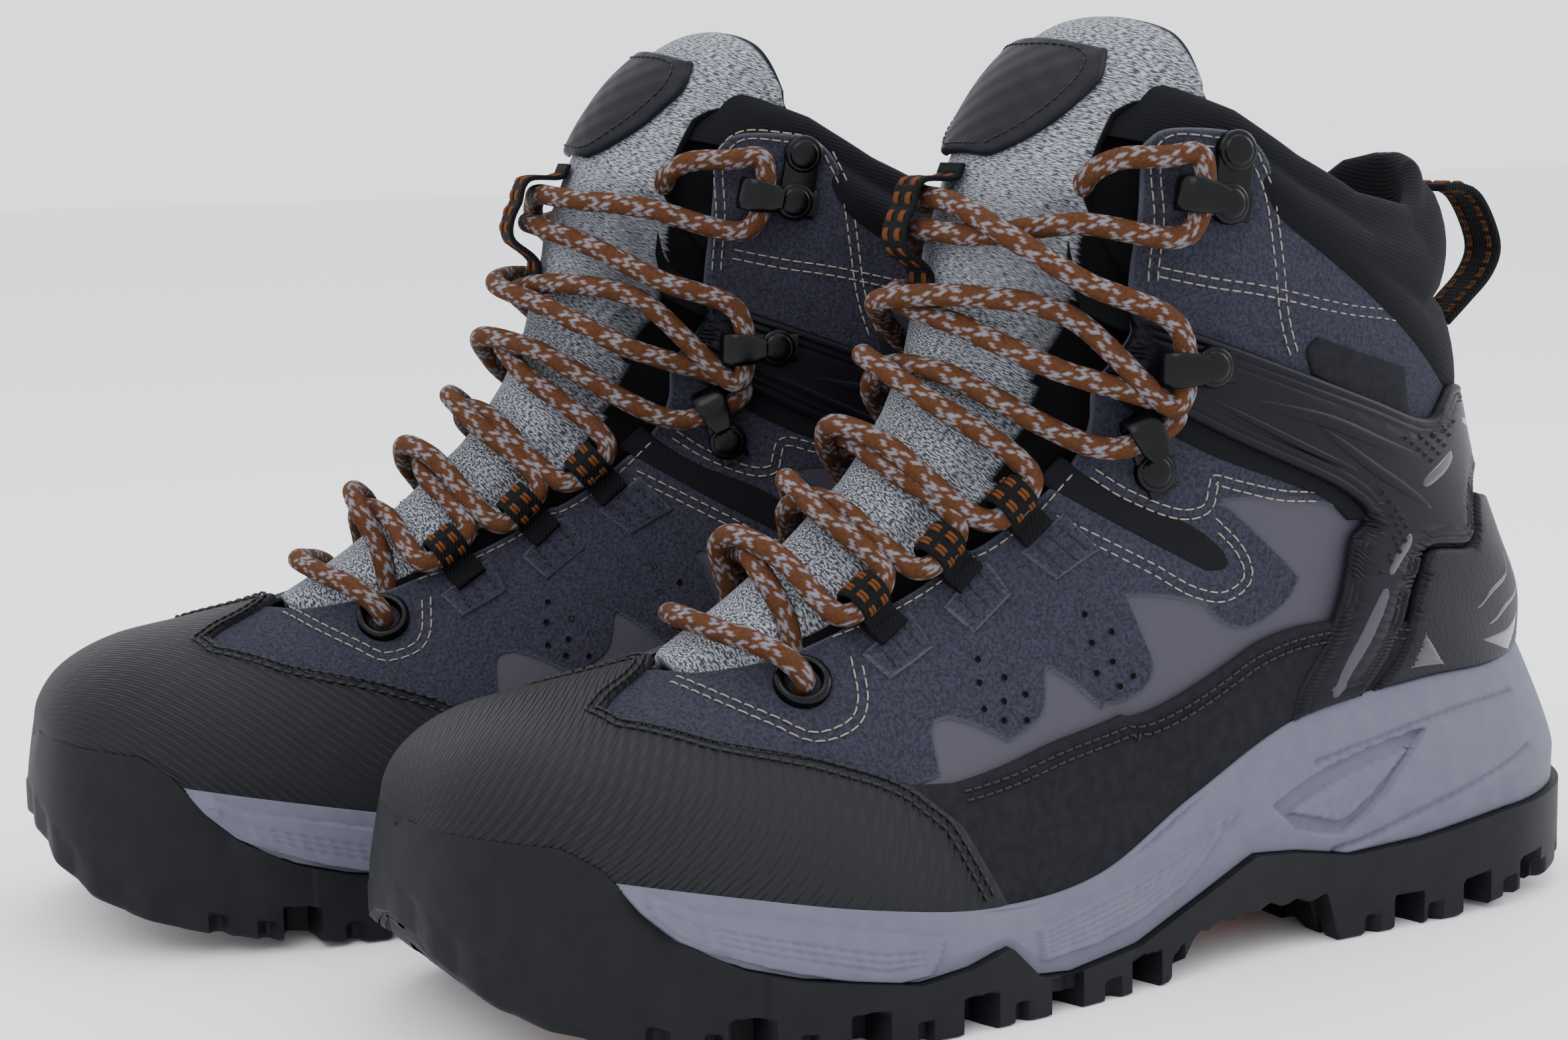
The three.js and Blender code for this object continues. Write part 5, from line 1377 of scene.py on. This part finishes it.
def welt(gap):
    """The line where the upper meets the sole, as (x, y, z) round the boot, moved out by a gap."""
    s = np.concatenate([np.linspace(0.4, 12.96, 260), np.linspace(12.96, 0.4, 260)])
    g = np.concatenate([np.ones(260), -np.ones(260)])
    line = even(skin_point(s, g), 1.0, closed=True)
    tangent = np.roll(line, -2, 0) - np.roll(line, 2, 0)
    line[:, :2] += unit(np.stack([tangent[:, 1], -tangent[:, 0]], -1), 1e-9) * gap
    return line


def closest(points, line):
    """For each (x, y) point, the place nearest to it on a line of (x, y, z) points, smoothed."""
    far = ((points[:, None, :2] - line[None, :, :2]) ** 2).sum(-1)
    found = line[far.argmin(1)]
    for _ in range(12):
        found = (np.roll(found, 1, 0) + 2 * found + np.roll(found, -1, 0)) / 4
    return found


def foam_relief(place):
    """How far the foam's wall stands out at each (y, z), before it fades at its edges."""
    relief = 0.9 * region(place, PANEL_TOP + PANEL_LOW[::-1], 0.4)
    relief = relief + 1.0 * region(place, SWOOSH_TOP + SWOOSH_LOW[::-1], 0.4)
    relief = relief - 1.9 * region(place, LENS, 0.35) + 1.3 * region(place, LENS_EYE, 0.35)
    cuts = [(crease, 1.2, 0.75) for crease in CREASES]
    cuts += [(between(PANEL_LOW, PANEL_TOP, share), 0.5, 0.45) for share in (0.3, 0.45, 0.6)]
    cuts += [(between(SWOOSH_LOW, SWOOSH_TOP, share), 0.4, 0.4) for share in (0.2, 0.35, 0.5, 0.65, 0.8)]
    cuts += [(line, 0.35, 0.5) for line in LENS_LINES]
    for line, depth, width in cuts:
        relief = relief - depth * groove(near_line(place, line), width)
    return np.clip(relief, -2.2, 1.6)


def make_midsole():
    edge, normal = outline(1.0, 0.75)
    y = edge[:, 1]
    seat = closest(edge, welt(2.1))
    high = seat[:, 2] + 1.4
    foot = follow(FOAM_FOOT, y)
    low = np.minimum(foot + 0.3 - 6 * (1 - smoothstep(44, 54, y)), high - 8)
    t = np.linspace(0, 1, 60)[:, None]
    z = low + (high - low) * t
    behind_cup = 3.2 * (1 - smoothstep(44, CUP_END, y)) * (1 - smoothstep(-0.6, 0.8, z - foot))
    place = np.stack([np.broadcast_to(y, z.shape), z], -1)
    sculpt = foam_relief(place) * (1 - smoothstep(0.9, 0.97, t))
    sculpt = sculpt * np.maximum(smoothstep(46, 56, y), smoothstep(1, 2.5, z - foot))
    lean = np.where(t < 0.25, 0, (t - 0.25) / 0.75) ** 1.25
    xy = edge[None] + (seat[None, :, :2] - edge[None]) * lean[..., None]
    xy = xy + normal[None] * (sculpt - 0.9 * (1 - t) - behind_cup)[..., None]
    wall = np.concatenate([xy, z[..., None]], -1)
    round_top = np.concatenate([wall[-1][:, :2] - normal * 0.5, (high + 0.25)[:, None]], -1)[None]
    lip = np.concatenate([wall[-1][:, :2] - normal * 3.5, (high - 0.3)[:, None]], -1)[None]
    under = np.concatenate([edge - normal * 5, low[:, None]], -1)[None]
    grid = np.concatenate([under, wall, round_top, lip])
    shape = Shape()
    chart = np.stack([np.broadcast_to(y, grid.shape[:2]), grid[..., 2], grid[..., 0]], -1)
    shape.add(grid, grid_faces(*grid.shape[:2], ring=True), 0, chart)
    build("midsole_wall", shape, FOAM, nodes=["midsole"])


def zigzag(value, width):
    return np.abs((value / width) % 2 - 1)


def wall_push(edge, above, t):
    """How far the outsole's side wall stands out: facets on the bumper, less slots and notches."""
    y = edge[:, 1]
    deep = np.zeros(above.shape)
    for slot in SLOTS:
        wide = smoothstep(4.2, 3.2, np.abs(y - slot))
        deep = np.maximum(deep, SLOT_DEPTH * wide * smoothstep(8.2, 7.2, above))
    for notch in NOTCHES:
        wide = smoothstep(1.9, 1.2, np.abs(y - notch))
        deep = np.maximum(deep, NOTCH_DEPTH * wide * smoothstep(5.0, 4.0, above))
    run = run_along(edge)
    run = np.minimum(run, run[-1] - run)
    facet = 1.1 * (zigzag(run, 7) - 0.5) * smoothstep(62, 50, y) * smoothstep(9, 7.5, above)
    push = np.minimum(facet, 0.4) - deep - 0.9 - 1.2 * smoothstep(0.95, 1, t)
    return np.where(y > 60, np.minimum(push + 0.9, 0.2), push)


def tread_rings(y, end, low, top):
    """The rings of the tread's underside, from the wall's lower end to the middle of the sole."""
    slot_here = np.max([smoothstep(4.2, 3.2, np.abs(y - s)) for s in SLOTS], axis=0)
    rings = []
    for share in (0.955, 0.9, 0.86, 0.84, 0.72, 0.6, 0.5, 0.48, 0.38, 0.3, 0.15, 0.0):
        x = end[:, 0] * share
        bottom = low + 4.5 * slot_here * (share > 0.5)
        bottom = bottom + 3.5 * (0.84 < share < 0.9) + 2.0 * (share == 0.6)
        recess = (np.abs(x) < RECESS_HALF) & (y > RECESS_ENDS[0]) & (y < RECESS_ENDS[1])
        bottom = np.where(recess, follow(PLATE_TOP, y) + 0.5, np.minimum(bottom, top - 1))
        rings.append(np.stack([x, end[:, 1], bottom], -1))
    return rings


def make_outsole():
    edge, normal = outline(0.0, 1.0)
    y = edge[:, 1]
    top = follow(FOAM_FOOT, y)
    arch = (y > ARCH_ENDS[0]) & (y < ARCH_ENDS[1])
    low = follow(TREAD, y) + np.where(arch, 1.5 * zigzag(y, 4), 0)
    seat = closest(edge, welt(2.4))
    seat[:, :2] += normal * 1.1
    t = np.linspace(0, 1, 26)[:, None]
    z = top + (low - top) * t
    push = wall_push(edge, z - low, t)
    lean = (np.clip((1 - t) - 0.35, 0, 1) / 0.65) ** 1.3 * (1 - smoothstep(40, CUP_END, y))
    xy = edge[None] + (seat[None, :, :2] - edge[None]) * lean[..., None] + normal[None] * push[..., None]
    wall = np.concatenate([xy, z[..., None]], -1)
    thick = np.where(y < 47, 1.6, 2.2)
    lip = np.concatenate([wall[0][:, :2] - normal * thick[:, None], (top + 0.1)[:, None]], -1)
    down = np.concatenate([wall[0][:, :2] - normal * (thick + 0.1)[:, None], (top - 4)[:, None]], -1)
    grid = np.array([down, lip, *wall, *tread_rings(y, wall[-1], low, top)])
    shape = Shape().add(grid, grid_faces(*grid.shape[:2], ring=True)[:, ::-1])
    build("outsole_tread", shape, RUBBER, nodes=["outsole"], angle=38)


def dress_nodes():
    """Better finishes for the pieces that keep their plain bodies."""
    for prefix, _ in BOOTS:
        for node, material in (("shank_plate", PLATE), ("footbed", FELT)):
            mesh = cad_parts[f"{prefix}_{node}"].data
            mesh.materials.clear()
            mesh.materials.append(material)


camera()
make_lace()
make_upper()
make_mouldings()
make_collar()
make_tongue()
make_label()
make_webbing()
make_hardware()
make_midsole()
make_outsole()
dress_nodes()
studio()
